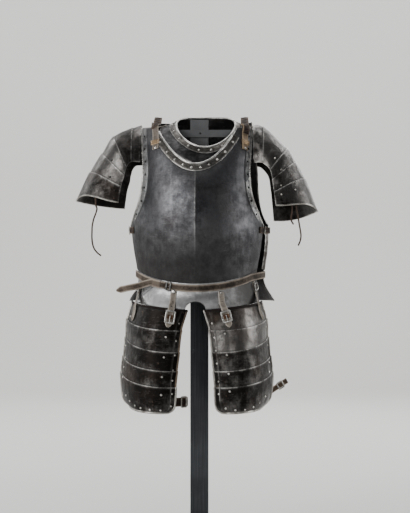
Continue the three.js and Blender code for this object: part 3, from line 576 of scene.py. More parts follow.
def back_at(turn, z, inset=0.0):
    half, rear = look_up_all(BACK, z)
    x = (half - inset) * sin(turn)
    hollow = SPINE["depth"] * near(x, 0, SPINE["half"])
    return xyz(x + BACK_SHIFT, BACK_SIDE_Y + (rear - inset - BACK_SIDE_Y) * cos(turn) - hollow, z)


def waist_at(turn):
    return WAIST["side"] - WAIST["dip"] * np.maximum(cos(turn), 0) ** 1.5


def edge_turn(armhole, sections, z):
    """Turn of a body plate's side edge, which follows the armhole above the underarm."""
    reach = look_up(armhole, "x", z) / look_up(sections, "half", z)
    turn = np.minimum(np.degrees(np.arcsin(np.minimum(reach, 1))), SIDE_LIMIT)
    return np.where(z <= armhole["z"][0], SIDE_LIMIT, turn)


def body_patch(at, sections, armhole, neck, side_z, low, middle, u, v):
    """A body plate from the waist up to its neckline, with u from -1 to 1 between its side edges."""
    top = sections["z"][-1] + 0 * v
    turn = u * edge_turn(armhole, sections, side_z + (top - side_z) * v)
    top_x = at(u * edge_turn(armhole, sections, top), top)[..., 0] - middle
    high = np.minimum(neck["low"] + neck["rise"] * (top_x / neck["half"]) ** 2, top)
    return at(turn, low + (high - low) * v)


def breast_patch(u, v):
    return body_patch(chest_at, CHEST, ARMHOLE, NECKLINE, WAIST["side"], waist_at(u * SIDE_LIMIT), 0, u, v)


def back_patch(u, v):
    return body_patch(back_at, BACK, BACK_ARMHOLE, BACK_NECK, BACK_WAIST, BACK_WAIST, BACK_SHIFT, u, v)


def flared(top, hem_x, hem_y, v, straight, z):
    """Points at height z, on their way out from under the belt to the hem."""
    share = smoothstep(v, straight, FLARE_END) / smoothstep(1.0, straight, FLARE_END)
    return xyz(top[..., 0] + (hem_x - top[..., 0]) * share, top[..., 1] + (hem_y - top[..., 1]) * share, z)


def fauld_patch(u, v):
    turn = u * SIDE_LIMIT
    top = chest_at(turn, waist_at(turn), STEEL + TUCK_GAP)
    hem_x = FAULD["half"] * sin(turn)
    hem_y = CHEST_SIDE_Y + (FAULD["front"] - CHEST_SIDE_Y) * cos(turn)
    arch = ARCH["rise"] * np.sqrt(np.maximum(1 - (hem_x / ARCH["half"]) ** 2, 0))
    top_z = top[..., 2] + FAULD["tuck"]
    full = top_z - FAULD["low"] - FAULD["side_rise"] * sin(turn) ** 2
    down = v * (full - arch)
    return flared(top, hem_x, hem_y, down / full, FAULD["straight"], top_z - down)


def skirt_patch(u, v):
    turn = u * SIDE_LIMIT
    top = back_at(turn, BACK_WAIST + 0 * turn, STEEL + TUCK_GAP)
    hem_x = BACK_SHIFT + SKIRT["half"] * sin(turn)
    hem_y = BACK_SIDE_Y + (SKIRT["rear"] - BACK_SIDE_Y) * cos(turn)
    top_z = BACK_WAIST + SKIRT["tuck"]
    return flared(top, hem_x, hem_y, v, SKIRT["straight"], top_z + (SKIRT["low"] - top_z) * v)


def gorget_at(turn, slope):
    fall = 14 + 50 * cos(turn) ** 2
    out = slope * cos(fall)
    rim = NECK_RIM["mid"] - NECK_RIM["tilt"] * cos(turn) - NECK_RIM["droop"] * cos(turn) ** 2
    x, y, _ = GORGET_CENTRE
    return xyz(x + (NECK + out) * sin(turn), y - (NECK - 0.002 + out) * cos(turn), rim - slope * sin(fall))


def gorget_patch(u, v):
    turn = (u + 180) % 360 - 180
    return gorget_at(turn, v * look_up(GORGET_REACH, "length", turn))


def pauldron_at(side, turn, s):
    end_x, end_z, crown_x, crown_z, depth, arch, drop = look_up_all(PAULDRON_RIBS[side], s)
    front, behind = np.maximum(sin(turn), 0), np.maximum(-sin(turn), 0)
    lift = arch * (2 * front * cos(turn)) ** 2 - drop * behind**2
    return xyz(side * (end_x + (crown_x - end_x) * cos(turn)), PAULDRON_Y - depth * sin(turn),
               end_z + (crown_z - end_z) * cos(turn) + lift)


def tasset_at(side, turn, s):
    in_x, out_x, in_z, out_z, bow, front_y, out_y = look_up_all(TASSET_RIBS, s)
    half = (out_x - in_x) / (sin(OUTER) - sin(INNER))
    deep = (out_y - front_y) / (1 - cos(OUTER))
    share = (turn - INNER) / (OUTER - INNER)
    return xyz(side * (out_x + half * (sin(turn) - sin(OUTER))), front_y + deep * (1 - cos(turn)),
               in_z + (out_z - in_z) * np.maximum(share, 0) ** bow)


def neck_point(share, down):
    """Point on the breast at a distance below its neckline; share goes from side to side."""
    slope = 2 * NECKLINE["rise"] * share / NECKLINE["half"]
    length = np.sqrt(1 + slope**2)
    x = share * NECKLINE["half"] + down * slope / length
    z = NECKLINE["low"] + NECKLINE["rise"] * share**2 - down / length
    return chest_at(np.degrees(np.arcsin(np.clip(x / look_up(CHEST, "half", z), -1, 1))), z)


# Plates
class Plate:
    """An outer surface that faces away from the point inside."""

    def __init__(self, at, u, v, inside):
        self.at = lambda a, b: at(*np.broadcast_arrays(np.asarray(a, float), np.asarray(b, float)))
        self.sign = 1.0
        self.sign = float(np.sign((self.out(u, v) * (self.at(u, v) - inside)).sum()))

    def out(self, u, v, step=1e-3):
        along = self.at(u + step, v) - self.at(u - step, v)
        up = self.at(u, v + step) - self.at(u, v - step)
        return unit(np.cross(along, up)) * self.sign

    def lifted(self, u, v, height):
        return self.at(u, v) + self.out(u, v) * np.asarray(height, float)[..., None]

    def station(self, u, v, height=GAP):
        return self.lifted(u, v, height), self.out(u, v)


def lame_of(at, inside, k):
    """Lame k of a stack lies over the lame above and under the lame below."""
    base = Plate(at, 10.0, k + 0.5, inside)

    def lame_at(u, s):
        part = np.maximum(s, 1) if k == 0 else s - k
        return base.lifted(u, s, LAP_STEP * (1 - part / (1 + LAP)))

    return Plate(lame_at, 10.0, k + 0.5, inside)


def lame_stacks(at, insides):
    return {side: [lame_of(partial(at, side), insides[side], k) for k in range(LAMES)] for side in insides}


TORSO = (0, 0, 0.9)
BREAST = Plate(breast_patch, 0.1, 0.5, TORSO)
BACKPLATE = Plate(back_patch, 0.1, 0.5, TORSO)
FAULD_PLATE = Plate(fauld_patch, 0.3, 0.5, TORSO)
SKIRT_PLATE = Plate(skirt_patch, 0.3, 0.5, TORSO)
GORGET = Plate(gorget_patch, 10, 0.5, GORGET_CENTRE)
GORGET_SLOPE = Plate(gorget_at, 10, 0.02, GORGET_CENTRE)
CHEST_PLATE = Plate(chest_at, 10, 0.9, TORSO)
BACK_PLATE = Plate(back_at, 10, 0.9, TORSO)
NECK_PLATE = Plate(neck_point, 0.1, 0.01, TORSO)
ARMPITS = {side: (side * 0.190, 0, 0.960) for side, _ in SIDES}
ARMS = lame_stacks(pauldron_at, ARMPITS)
THIGHS = {side: (side * 0.100, -0.060, 0.520) for side, _ in SIDES}
LEGS = lame_stacks(tasset_at, THIGHS)


def dense(low, high, count, ends="both"):
    """Numbers from low to high, closer together towards one end or both."""
    t = np.linspace(0, math.pi / 2, count)
    share = {"both": np.sin(t) ** 2, "low": 1 - np.cos(t), "high": np.sin(t)}
    return low + (high - low) * share[ends]


def edge_distances(points):
    """Distance of each grid point from the four sides of the grid, along its lines."""
    across = np.cumsum(np.linalg.norm(np.diff(points, axis=1, prepend=points[:, :1]), axis=2), axis=1)
    up = np.cumsum(np.linalg.norm(np.diff(points, axis=0, prepend=points[:1]), axis=2), axis=0)
    return {"left": across, "right": across[:, -1:] - across, "low": up, "high": up[-1:] - up}


RIM_ANGLES = (45, 90, 135)
ALL_EDGES = ("left", "right", "low", "high")
TUCKED_BELOW = ("left", "right", "high")


def make_shell(name, plate, us, vs, thickness, material, replaces=None, relief=None, bare=ALL_EDGES,
               shade_and_darkening=None, highlight_and_wear=None, wear_reach=0.0016, tone=None):
    """A plate of even thickness with rounded edges, and marks for wear, painted highlights, painted shade and
    other darkening.
    """
    u, v = np.meshgrid(us, vs)
    outer, out = plate.at(u, v), plate.out(u, v)
    distances = edge_distances(outer)
    if relief:
        outer = outer + out * relief(distances, outer)[..., None]
    inner = outer - out * thickness
    rows, columns = u.shape
    count = rows * columns
    index = np.arange(count).reshape(rows, columns)
    border = np.concatenate([index[0], index[1:, -1], index[-1, -2::-1], index[-2:0:-1, 0]])
    r, c = border // columns, border % columns
    half = (outer[r, c] - inner[r, c]) / 2
    direction = outer[r, c] - outer[np.clip(r, 1, rows - 2), np.clip(c, 1, columns - 2)]
    direction = unit(direction - unit(half) * (direction * unit(half)).sum(1, keepdims=True))
    middle = (outer[r, c] + inner[r, c]) / 2
    rims = [middle + half * cos(angle) + direction * sin(angle) * thickness / 2 for angle in RIM_ANGLES]
    points = np.vstack([outer.reshape(-1, 3), inner.reshape(-1, 3), *rims])
    loops = [border, *(2 * count + np.arange(len(rims) * len(border)).reshape(len(rims), -1)), border + count]
    sides = [np.stack([b, np.roll(b, -1), np.roll(a, -1), a], 1) for a, b in zip(loops, loops[1:])]
    front = grid_faces(rows, columns)
    faces = outward(points, np.vstack([front, front[:, ::-1] + count, *sides]))

    def spread(front_values, back_values):
        rim_values = np.tile(front_values[r, c], len(rims))
        return np.concatenate([front_values.ravel(), back_values.ravel(), rim_values])

    worn = [0 * u] + [np.exp(-distances[side] / wear_reach) for side in bare]
    # painted highlights join the worn edges here
    if highlight_and_wear:
        worn.append(highlight_and_wear(distances, v))
    edge = np.max(worn, axis=0)
    shade_and_darkening_values = shade_and_darkening(u, v, distances) if shade_and_darkening else 0 * u
    values = {"edge": spread(edge, 0.3 * edge), "shade_and_darkening": spread(shade_and_darkening_values, 0 * u + 0.25)}
    if tone is not None:
        shade = (tone(u, v) if callable(tone) else tone) + 0 * u
        values["tone"] = spread(shade, shade)
    return build(name, points, faces, material, replaces, **values)


CAP_REACH = np.array([[0.846], [0.63]])
CAP_SIZE = np.array([0.35, 0.75])


def make_tube(name, path, radius, material, ring=False, sides=10, **details):
    """A round bar along points, with rounded ends unless it is a ring."""
    p = np.asarray(path, float)
    along = directions(p, ring)
    normals = [unit(np.cross(along[0], (0.3, 0.5, 0.81)))]
    for direction in along[1:]:
        normals.append(unit(normals[-1] - direction * (normals[-1] @ direction)))
    across = np.cross(along, normals)
    size = np.full(len(p), radius)
    if not ring:
        reach = radius * CAP_REACH
        p = np.vstack([p[0] - along[0] * reach, p, p[-1] + along[-1] * reach[::-1]])
        size = np.concatenate([radius * CAP_SIZE, size, radius * CAP_SIZE[::-1]])
        normals, across = (np.pad(a, ((2, 2), (0, 0)), "edge") for a in (normals, across))
    angle = np.linspace(0, 360, sides, endpoint=False)[:, None]
    circle = np.asarray(normals)[:, None] * cos(angle) + across[:, None] * sin(angle)
    return sweep(name, p[:, None] + circle * size[:, None, None], ring, material, **details)


# Cords come first
def make_laces():
    for name, route in LACES.items():
        path = spline(route, np.linspace(0, 1, 90))
        piece = make_tube(f"lace_cord_{name}", path, LACE_DIAMETER / 2, "dark_leather",
                          replaces=f"lace_{name}", shift=0.0, tone=0.12, edge=0.3)


make_laces()


# Body plates
def nearer_side(d):
    return np.minimum(d["left"], d["right"])


def breast_relief(d, points):
    """The bands along the armholes stand proud of the plate and turn up towards the edge."""
    side = nearer_side(d)
    band = 1 - smoothstep(side, BORDER["width"] - 0.002, BORDER["width"] + 0.001)
    flare = BORDER["flare"] * (1 - np.clip(side / BORDER["width"], 0, 1))
    return (BORDER["raise"] + flare) * band * smoothstep(points[..., 2], UNDERARM - 0.01, UNDERARM + 0.03)


def breast_painted_shade(u, v, d):
    """Painted shade: a shadow line in the groove beside the armhole bands, darker over the low part of the
    plate and most on the left, darker below the neckline, and a shadow line in the seam above the belt.
    """
    groove = 0.8 * near(nearer_side(d), BORDER["width"] + 0.001, 0.0012) * smoothstep(v, 0.3, 0.4)
    low = np.clip(0.95 - 0.9 * u, 0, 1) * (1 - smoothstep(d["low"], 0.03, 0.21))
    high = 0.65 * (1 - smoothstep(d["high"], 0.018, 0.06))
    return np.max([groove, low, high, np.exp(-d["low"] / 0.0025)], axis=0)


def breast_painted_highlight(d, v):
    """The armhole bands are painted brighter than the plate, the right band more, as if they caught the
    light, and the ridge gets a thin painted highlight line.
    """
    band = 1 - smoothstep(nearer_side(d), BORDER["width"] - 0.003, BORDER["width"])
    highlight_and_wear = np.where(d["left"] < d["right"], BORDER["highlight_and_wear"]["left"], BORDER["highlight_and_wear"]["right"])
    ridge = RIDGE["highlight_and_wear"] * near((d["right"] - d["left"]) / 2, RIDGE["left"], RIDGE["half"])
    return np.maximum(highlight_and_wear * band * smoothstep(v, 0.3, 0.4), ridge * smoothstep(v, *RIDGE["fade"]))


def back_seam_darkening(u, v, d):
    """Darker along the lower edge, in the seam above the skirt."""
    return np.exp(-d["low"] / 0.004)


def above_side_lame(points):
    """Height above the slanting edge of the small side lame at the left of the fauld."""
    return points[..., 2] - SIDE_LAME["low"] - SIDE_LAME["slope"] * (points[..., 0] - SIDE_LAME["x"])


def fauld_relief(d, points):
    """The main plate lies over the side lame, whose edge runs up towards the belt."""
    above = smoothstep(above_side_lame(points), -0.001, 0.001)
    return SIDE_LAME["step"] * (1 - above * (points[..., 0] < 0))


def fauld_painted_shade(u, v, d):
    """Darker over the side lame, with a painted shadow line where the main plate's edge lies over it; painted
    shade over the right half, which faces away from the light; and a painted shadow line along the hem.
    """
    points = FAULD_PLATE.at(u, v)
    above = above_side_lame(points)
    lame = np.maximum(0.6 * smoothstep(above, 0, 0.001), near(above, 0, SIDE_LAME["groove"]))
    dull = 0.7 * smoothstep(u, 0.25, 0.75)
    return np.max([np.where(points[..., 0] < -0.09, lame, 0), dull, np.exp(-d["high"] / 0.0011)], axis=0)


# Painted shade: the right half is darker, as if turned away from the light.
def fauld_tone_and_shade(u, v):
    return 0.06 - 0.3 * smoothstep(u, 0.25, 0.75)


def skirt_painted_shade(u, v, d):
    """Painted shade over the whole back skirt, which sits in shadow, but not on its outer edges."""
    return 0.7 * smoothstep(nearer_side(d), 0.001, 0.004)


def make_body():
    columns = np.concatenate([
        dense(-1, -0.8, 24, "low"), np.linspace(-0.8, 0.8, 240)[1:-1], dense(0.8, 1, 24, "high"),
    ])
    rows = dense(0, 1, 130)
    make_shell("breast_plate", BREAST, columns, rows, STEEL, "breast_steel", "breastplate", breast_relief,
               TUCKED_BELOW, breast_painted_shade, breast_painted_highlight, tone=0.0)
    make_shell("back_plate", BACKPLATE, columns[::3], rows[::2], STEEL, "breast_steel", "backplate",
               bare=TUCKED_BELOW, shade_and_darkening=back_seam_darkening, tone=-0.06)
    hem = np.concatenate([-dense(0.25, 1, 100)[::-1], np.linspace(-0.25, 0.25, 81)[1:-1], dense(0.25, 1, 50)])
    make_shell("fauld_plate", FAULD_PLATE, hem, dense(0, 1, 90), STEEL, "bright_steel", "fauld",
               fauld_relief, (), fauld_painted_shade, tone=fauld_tone_and_shade)
    make_shell("skirt_plate", SKIRT_PLATE, np.linspace(-1, 1, 90), dense(0, 1, 32), STEEL, "dark_steel",
               "back_skirt", bare=TUCKED_BELOW, shade_and_darkening=skirt_painted_shade, tone=-0.08)
    for end, start, stop in (("front", -89.7, 89.7), ("back", 90.3, 269.7)):
        make_shell(f"gorget_plate_{end}", GORGET, np.linspace(start, stop, 90), dense(0, 1, 20), STEEL,
                   "dark_steel", f"gorget_{end}", bare=("low", "high"), tone=-0.1)


make_body()


# Rivets, rolled edges and riveted bands
def dome(rings=3, sides=10):
    """Points and faces of a low dome of unit radius and height, standing on z = 0."""
    fall = np.linspace(0, 90, rings + 1)[1:, None]
    turn = np.linspace(0, 360, sides, endpoint=False)
    around = xyz(sin(fall) * cos(turn), sin(fall) * sin(turn), cos(fall)).reshape(-1, 3)
    faces = [(0, 1 + j, 1 + (j + 1) % sides) for j in range(sides)]
    faces += (grid_faces(rings, sides, True)[:, ::-1] + 1).tolist()
    faces.append(range(rings * sides, (rings - 1) * sides, -1))
    return np.vstack([(0, 0, 1), around]), faces


DOME, DOME_FACES = dome()
SUNK = 0.0003


def make_rivets(name, stations, material="rivet_steel", radius=0.0031, height=0.0021):
    """Low domes standing on stations of point and outward direction, as one piece."""
    points, faces, edge = [], [], []
    for k, (point, out) in enumerate(stations):
        out = unit(np.asarray(out, float))
        first = unit(np.cross(out, (0.2, 0.4, 0.89)))
        flat = (DOME[:, :1] * first + DOME[:, 1:2] * np.cross(out, first)) * radius * rng.uniform(0.9, 1.1)
        points.append(point - out * SUNK + flat + DOME[:, 2:] * out * (height + SUNK))
        faces += [[i + k * len(DOME) for i in face] for face in DOME_FACES]
        edge.append(np.clip(DOME[:, 2], 0.3, 1) * rng.uniform(0.6, 1.0))
    return build(name, np.vstack(points), faces, material, edge=np.concatenate(edge))


def band_relief(d, points):
    """A riveted band swells a little between its edges."""
    return 0.0006 * smoothstep(np.minimum(d["low"], d["high"]), 0, 0.004)


def make_band(name, plate, us, vs, thickness):
    make_shell(name, plate, us, vs, thickness, "band_steel", relief=band_relief, bare=("low", "high"),
               wear_reach=0.0018)


def make_neck_bands():
    width, lift = NECK_BAND["width"], NECK_BAND["lift"]
    upper = Plate(lambda u, v: NECK_PLATE.lifted(u, v, lift), 0.1, 0.01, TORSO)
    make_band("neck_band", upper, np.linspace(-1.04, 1.04, 110), dense(-0.0005, width, 10), 0.0012)
    edge = NECK_PLATE.lifted(np.linspace(-1.08, 1.08, 140), -0.0015, lift)
    make_tube("neck_roll", edge, ROLL, "roll_steel", edge=0.5)
    places = np.linspace(-0.93, 0.93, 10)
    make_rivets("neck_rivets", [upper.station(place, width * 0.58, 0.0006) for place in places],
                radius=0.0037, height=0.0026)
    band = Plate(lambda turn, slope: GORGET_SLOPE.lifted(turn, slope, 0.0008), 10, 0.01, GORGET_CENTRE)
    for end, start, stop, count in (("front", -104.7, 79.7, 120), ("back", 80.3, 254.7, 90)):
        make_band(f"gorget_band_{end}", band, np.linspace(start, stop, count), dense(0, 0.019, 10), 0.0008)
    rim = GORGET_SLOPE.lifted(np.linspace(0, 360, 220, endpoint=False), 0.0, 0.0006)
    make_tube("gorget_roll", rim, ROLL, "roll_steel", ring=True, edge=0.5)
    turns = (-92, -71, -51, -31, -11, 11, 31, 52, 100, 130, 160, 190, 220, 245)
    make_rivets("gorget_rivets", [band.station(turn, 0.0115, 0.0006) for turn in turns], radius=0.0035,
                height=0.0024)


def armhole_path(plate, side, low, raised):
    """Points up a body plate's armhole edge, lifted with the border once that has risen."""
    v = np.linspace(low, 1, 80)
    return plate.lifted(float(side), v, raised * smoothstep(v, low, low + 0.1))


def lip_at(side, u, v):
    """The backplate's side edge turns forward as a narrow lip."""
    inward = u * BACK_LIP["width"]
    turned = xyz(side * inward * BACK_LIP["across"], inward * BACK_LIP["ahead"], 0)
    return back_patch(side + 0 * v, v) - turned


def make_armholes():
    low = (UNDERARM - WAIST["side"]) / (CHEST["z"][-1] - WAIST["side"])
    for side, end in SIDES:
        front = armhole_path(BREAST, side, low - 0.015, BORDER["raise"] + BORDER["flare"])
        make_tube(f"armhole_roll_{end}", front, ROLL * 0.9, "roll_steel", edge=0.7)
        rear = armhole_path(BACKPLATE, side, 0.30, 0.0)
        make_tube(f"back_roll_{end}", rear, ROLL * 0.8, "roll_steel", edge=0.3)
        rivets = []
        us = np.linspace(side, side * 0.8, 40)
        for v in np.linspace(low + 0.07, 0.94, 7):
            reach = edge_distances(breast_patch(us, v + 0 * us)[None])["left"][0]
            u = float(np.interp(BORDER["width"] * 0.5, reach, us))
            rivets.append(BREAST.station(u, v, BORDER["raise"] + 0.5 * BORDER["flare"]))
        make_rivets(f"armhole_rivets_{end}", rivets, "dark_rivet", radius=0.0034, height=0.0014)
        lip = Plate(partial(lip_at, side), 0.5, 0.1, (0, 0.1, 0.8))
        make_shell(f"back_lip_{end}", lip, dense(0, 1, 8), np.linspace(0.004, BACK_LIP["top"], 40), 0.0012,
                   "band_steel", bare=("left", "right"))


make_neck_bands()
make_armholes()


# Lames, from the top down. A tone makes a lame's patina lighter or darker, and also paints light and shade,
# so the left and right lames differ
ARM_TONES = {"left": (0.0, -0.06, 0.04, 0.0, -0.08), "right": (0.0, 0.02, 0.0, -0.02, 0.0)}
LEG_TONES = {"left": (-0.20, -0.07, -0.13, -0.14, -0.15), "right": (-0.10, 0.02, -0.07, -0.08, -0.10)}
OUTER_HALF_TONES = {"left": (0.0, 0.0, 0.0, 0.0, 0.0), "right": (0.13, 0.08, 0.0, 0.0, 0.0)}


def arm_lap_shadow(k, u, s, d):
    """Painted shadow just above the next lame's edge, and full dark where that lame covers this one."""
    return np.where(s < k + 1, 0.9 * np.exp(-(k + 1 - s) / 0.035), 1.0) if k < LAMES - 1 else 0 * u


def leg_painted_shade(k, u, s, d):
    """Painted shade as on the arms, painted shadow lines beside the inner band's step and beside the rolled
    inner edge, and painted shade on the top lame where it goes under the fauld.
    """
    band = 0.85 * near(d["left"], LEG_BAND["width"], 0.0013)
    line = 0.8 * near(d["left"], 0.0055, 0.0016)
    top = 1 - smoothstep(s, 0.0, 0.12) if k == 0 else 0 * u
    return np.max([arm_lap_shadow(k, u, s, d), band, line, top], axis=0)


def leg_wear_and_highlight(d, s):
    """The step beside the inner band is worn to a thin line, which is also a painted highlight."""
    return 0.7 * near(d["left"], LEG_BAND["width"] - 0.002, 0.0009)


def leg_relief(d, points):
    """The inner band of a leg stands a little proud."""
    return LEG_BAND["raise"] * (1 - smoothstep(d["left"], LEG_BAND["width"] - 0.001, LEG_BAND["width"]))


def arm_tone_and_light(end, k, turn, s):
    """Painted light: brighter over the crown."""
    return ARM_TONES[end][k] - 0.05 + 0.16 * cos(turn) ** 2


def leg_tone_and_light(end, k, turn, s):
    """Brighter towards the lower edge, and on some lames on the outer half."""
    outer = OUTER_HALF_TONES[end][k] * smoothstep(turn, 5, 30)
    return LEG_TONES[end][k] - 0.05 + 0.12 * np.clip(s - k, 0, 1) + outer


def make_lames():
    for side, end in SIDES:
        for k in range(LAMES):
            last = k == LAMES - 1
            bare = ALL_EDGES[: 4 if last else 3]
            high = k + (1 if last else 1 + LAP)
            plain = {"thickness": LAME, "material": "lame_steel", "wear_reach": 0.0013}
            make_shell(
                f"pauldron_{k + 1}_{end}", ARMS[side][k], dense(-PAULDRON_END, PAULDRON_END, 90),
                dense(k, high, 18), replaces=f"pauldron_lame_{k + 1}_{end}", bare=bare,
                shade_and_darkening=partial(arm_lap_shadow, k), tone=partial(arm_tone_and_light, end, k), **plain,
            )
            make_shell(
                f"tasset_{k + 1}_{end}", LEGS[side][k], dense(INNER, OUTER, 90), dense(k, high, 24),
                replaces=f"tasset_lame_{k + 1}_{end}", relief=leg_relief, bare=bare if k else bare[:2],
                shade_and_darkening=partial(leg_painted_shade, k), highlight_and_wear=leg_wear_and_highlight, tone=partial(leg_tone_and_light, end, k), **plain,
            )


make_lames()

# Rivets and rolled edges of the lames
TASSET_RIVETS = {
    # distance from the inner edge, places down the stack of lames
    "left": (
        (0.032, 4.88), (0.060, 4.88), (0.087, 4.85), (0.105, 4.80), (0.122, 4.70), (0.134, 4.57),
        (0.011, (0.64, 1.46, 2.13, 2.93, 3.58, 4.26, 4.73)), (0.038, (1.3, 2.25, 3.35, 4.3)),
        (0.145, (0.7, 2.3, 2.9, 3.5, 4.05)),
    ),
    "right": (
        (0.026, 4.80), (0.048, 4.87), (0.072, 4.88), (0.097, 4.83), (0.116, 4.72), (0.132, 4.58),
        (0.012, (0.64, 1.31, 1.91, 2.55, 3.63, 4.26)), (0.040, (1.14, 2.12, 3.14, 4.16)),
        (0.146, (0.5, 1.3, 2.3, 3.2, 3.8)),
    ),
}
PAULDRON_RIVETS = {
    # turn from the crown, place down the stack of lames
    "left": ((71, 0.5), (63, 1.86), (56, 2.86), (68, 3.8), (76, 4.4), (82, 4.4)),
    "right": ((78, 0.6), (66, 1.8), (66, 2.82), (75, 3.82), (78, 4.35), (55, 4.37)),
}


def tasset_turn(s, x):
    """Turn at which a tasset is x from the middle."""
    in_x, out_x = look_up(TASSET_RIBS, "in_x", s), look_up(TASSET_RIBS, "out_x", s)
    share = (x - in_x) / (out_x - in_x)
    return float(np.degrees(np.arcsin(sin(INNER) + (sin(OUTER) - sin(INNER)) * share)))


def make_lame_rivets(side, end):
    rivets = []
    for distance, places in TASSET_RIVETS[end]:
        for s in np.atleast_1d(places):
            turn = tasset_turn(s, look_up(TASSET_RIBS, "in_x", s) + distance)
            rivets.append(LEGS[side][int(s)].station(turn, s, 0.0003))
    make_rivets(f"tasset_rivets_{end}", rivets)
    rivets = [ARMS[side][int(s)].station(sign * turn, s, 0.0) for turn, s in PAULDRON_RIVETS[end]
              for sign in (1, -1)]
    make_rivets(f"pauldron_rivets_{end}", rivets, "dark_rivet" if end == "left" else "iron")


def make_lame_rolls(side, end):
    """Rolled edges on the legs, dark piping on their tops, and the arms' lips."""
    legs = LEGS[side]
    inner, outer, low, lift = (LEG_ROLL[key] for key in ("inner", "outer", "low", "lift"))
    for k, leg in enumerate(legs[:-1]):
        for turn, tag in ((inner, "inner"), (outer, "outer")):
            piped = tag == "inner" and end == "left"
            edge = leg.lifted(turn, np.linspace(k + 0.01, k + 1, 24), lift)
            make_tube(f"tasset_roll_{tag}_{k + 1}_{end}", edge, LEG_ROLL["radius"],
                      "brown_leather" if piped else "iron", edge=0.45)
    down = np.linspace(4.01, low, 30)
    across = np.linspace(inner, outer, 70)[1:-1]
    hem = [legs[-1].lifted(*spots, lift) for spots in ((inner, down), (across, low), (outer, down[::-1]))]
    make_tube(f"tasset_hem_{end}", np.vstack(hem), LEG_ROLL["radius"], "iron", edge=0.45)
    share = np.linspace(0.005, 0.995, 80)
    top = legs[0].lifted(INNER + (OUTER - INNER) * share, 0.0, -LAME / 2)
    top[:, 2] += TOP_PIPING["rise"] * share
    make_tube(f"tasset_top_{end}", top, TOP_PIPING["radius"], "dark_leather", tone=-0.3)
    lip = ARMS[side][-1].lifted(np.linspace(-PAULDRON_END, PAULDRON_END, 100), 5.0, -LAME / 2)
    make_tube(f"pauldron_lip_{end}", lip, ROLL * 0.65, "iron", edge=0.4)


for leg_side, leg_end in SIDES:
    make_lame_rivets(leg_side, leg_end)
    make_lame_rolls(leg_side, leg_end)


# Straps
STRAP_SECTION = np.array((
    # share of half width, share of thickness
    (-1.0, 0.3), (-0.93, 0.0), (0.0, 0.0), (0.93, 0.0), (1.0, 0.3),
    (1.0, 0.7), (0.92, 1.0), (0.5, 1.1), (-0.5, 1.1), (-0.92, 1.0), (-1.0, 0.7),
))
FINER = 4


def strap_line(stations, places, ring=False):
    """Middle of a strap's underside at places from 0 to 1, and its directions across and outwards."""
    centre, lean = (spline(column, places, ring) for column in zip(*stations))
    along = directions(centre, ring)
    across = unit(np.cross(along, lean))
    return centre, across, unit(np.cross(across, along))


def make_strap(name, stations, width, steps, material, replaces=None, thickness=LEATHER, ring=False,
               tip=1.0, tone=0.0):
    """A flat strap with soft edges along stations of point and outward direction."""
    places = np.linspace(0, 1, steps * FINER + 1)[: -1 if ring else None]
    centre, across, out = strap_line(stations, places, ring)
    half = width / 2 * (1 + (tip - 1) * np.clip(places * steps - (steps - 1), 0, 1))
    aside, up = STRAP_SECTION.T
    points = (centre[:, None] + across[:, None] * (aside * half[:, None])[..., None]
              + out[:, None] * (up * thickness)[:, None])
    edge = np.tile(np.abs(aside) > 0.9, len(points))
    return sweep(name, points, ring, material, replaces=replaces, edge=edge, tone=tone)


def strap_spot(stations, place, across, height):
    """Station on a strap, to one side of its middle and above its underside."""
    places = np.clip([place - 0.01, place, place + 0.01], 0, 1)
    centre, sideways, out = strap_line([(point, unit(lean)) for point, lean in stations], places)
    return centre[1] + sideways[1] * across + out[1] * height, out[1]


def make_holes(name, stations, places, radius=0.0021):
    """Punched holes down the middle of a strap, drawn as dark discs of painted shade just above it."""
    spots = [strap_spot(stations, place, 0, LEATHER * 1.12) for place in places]
    make_rivets(name, spots, "hole", radius, height=0.0001)


def turn_for(sections, z, x):
    return math.degrees(math.asin(x / look_up(sections, "half", z)))


def make_frame(name, station, along, length, width, bar, thick, height=LEATHER + GAP, replaces=None,
               prong=True, material="iron"):
    """A frame buckle lying on a strap, with its prong."""
    point, out = station
    across = unit(np.cross(out, along))
    straight = unit(np.cross(across, out))
    base = point + out * (height + thick / 2)
    a, b = (length - bar) / 2, (width - bar) / 2
    corner = bar * 0.45
    path = []
    for right, up, start in ((1, 1, 0), (-1, 1, 90), (-1, -1, 180), (1, -1, 270)):
        for angle in start + np.linspace(0, 90, 5):
            x = right * (a - corner) + corner * cos(angle)
            y = up * (b - corner) + corner * sin(angle)
            path.append(base + straight * x + across * y)
    closed = spline(path, np.linspace(0, 1, 80, endpoint=False), True)
    make_tube(name, closed, bar / 2, material, ring=True, replaces=replaces, slot="iron", edge=0.35)
    if prong:
        reaches = ((-a * 0.2, -0.1), (a * 0.4, 0.2), (a + bar * 0.3, 0.5))
        pin = spline([base + straight * x + out * thick * z for x, z in reaches], np.linspace(0, 1, 12))
        make_tube(name + "_prong", pin, bar * 0.3, material, slot="iron", edge=0.3)


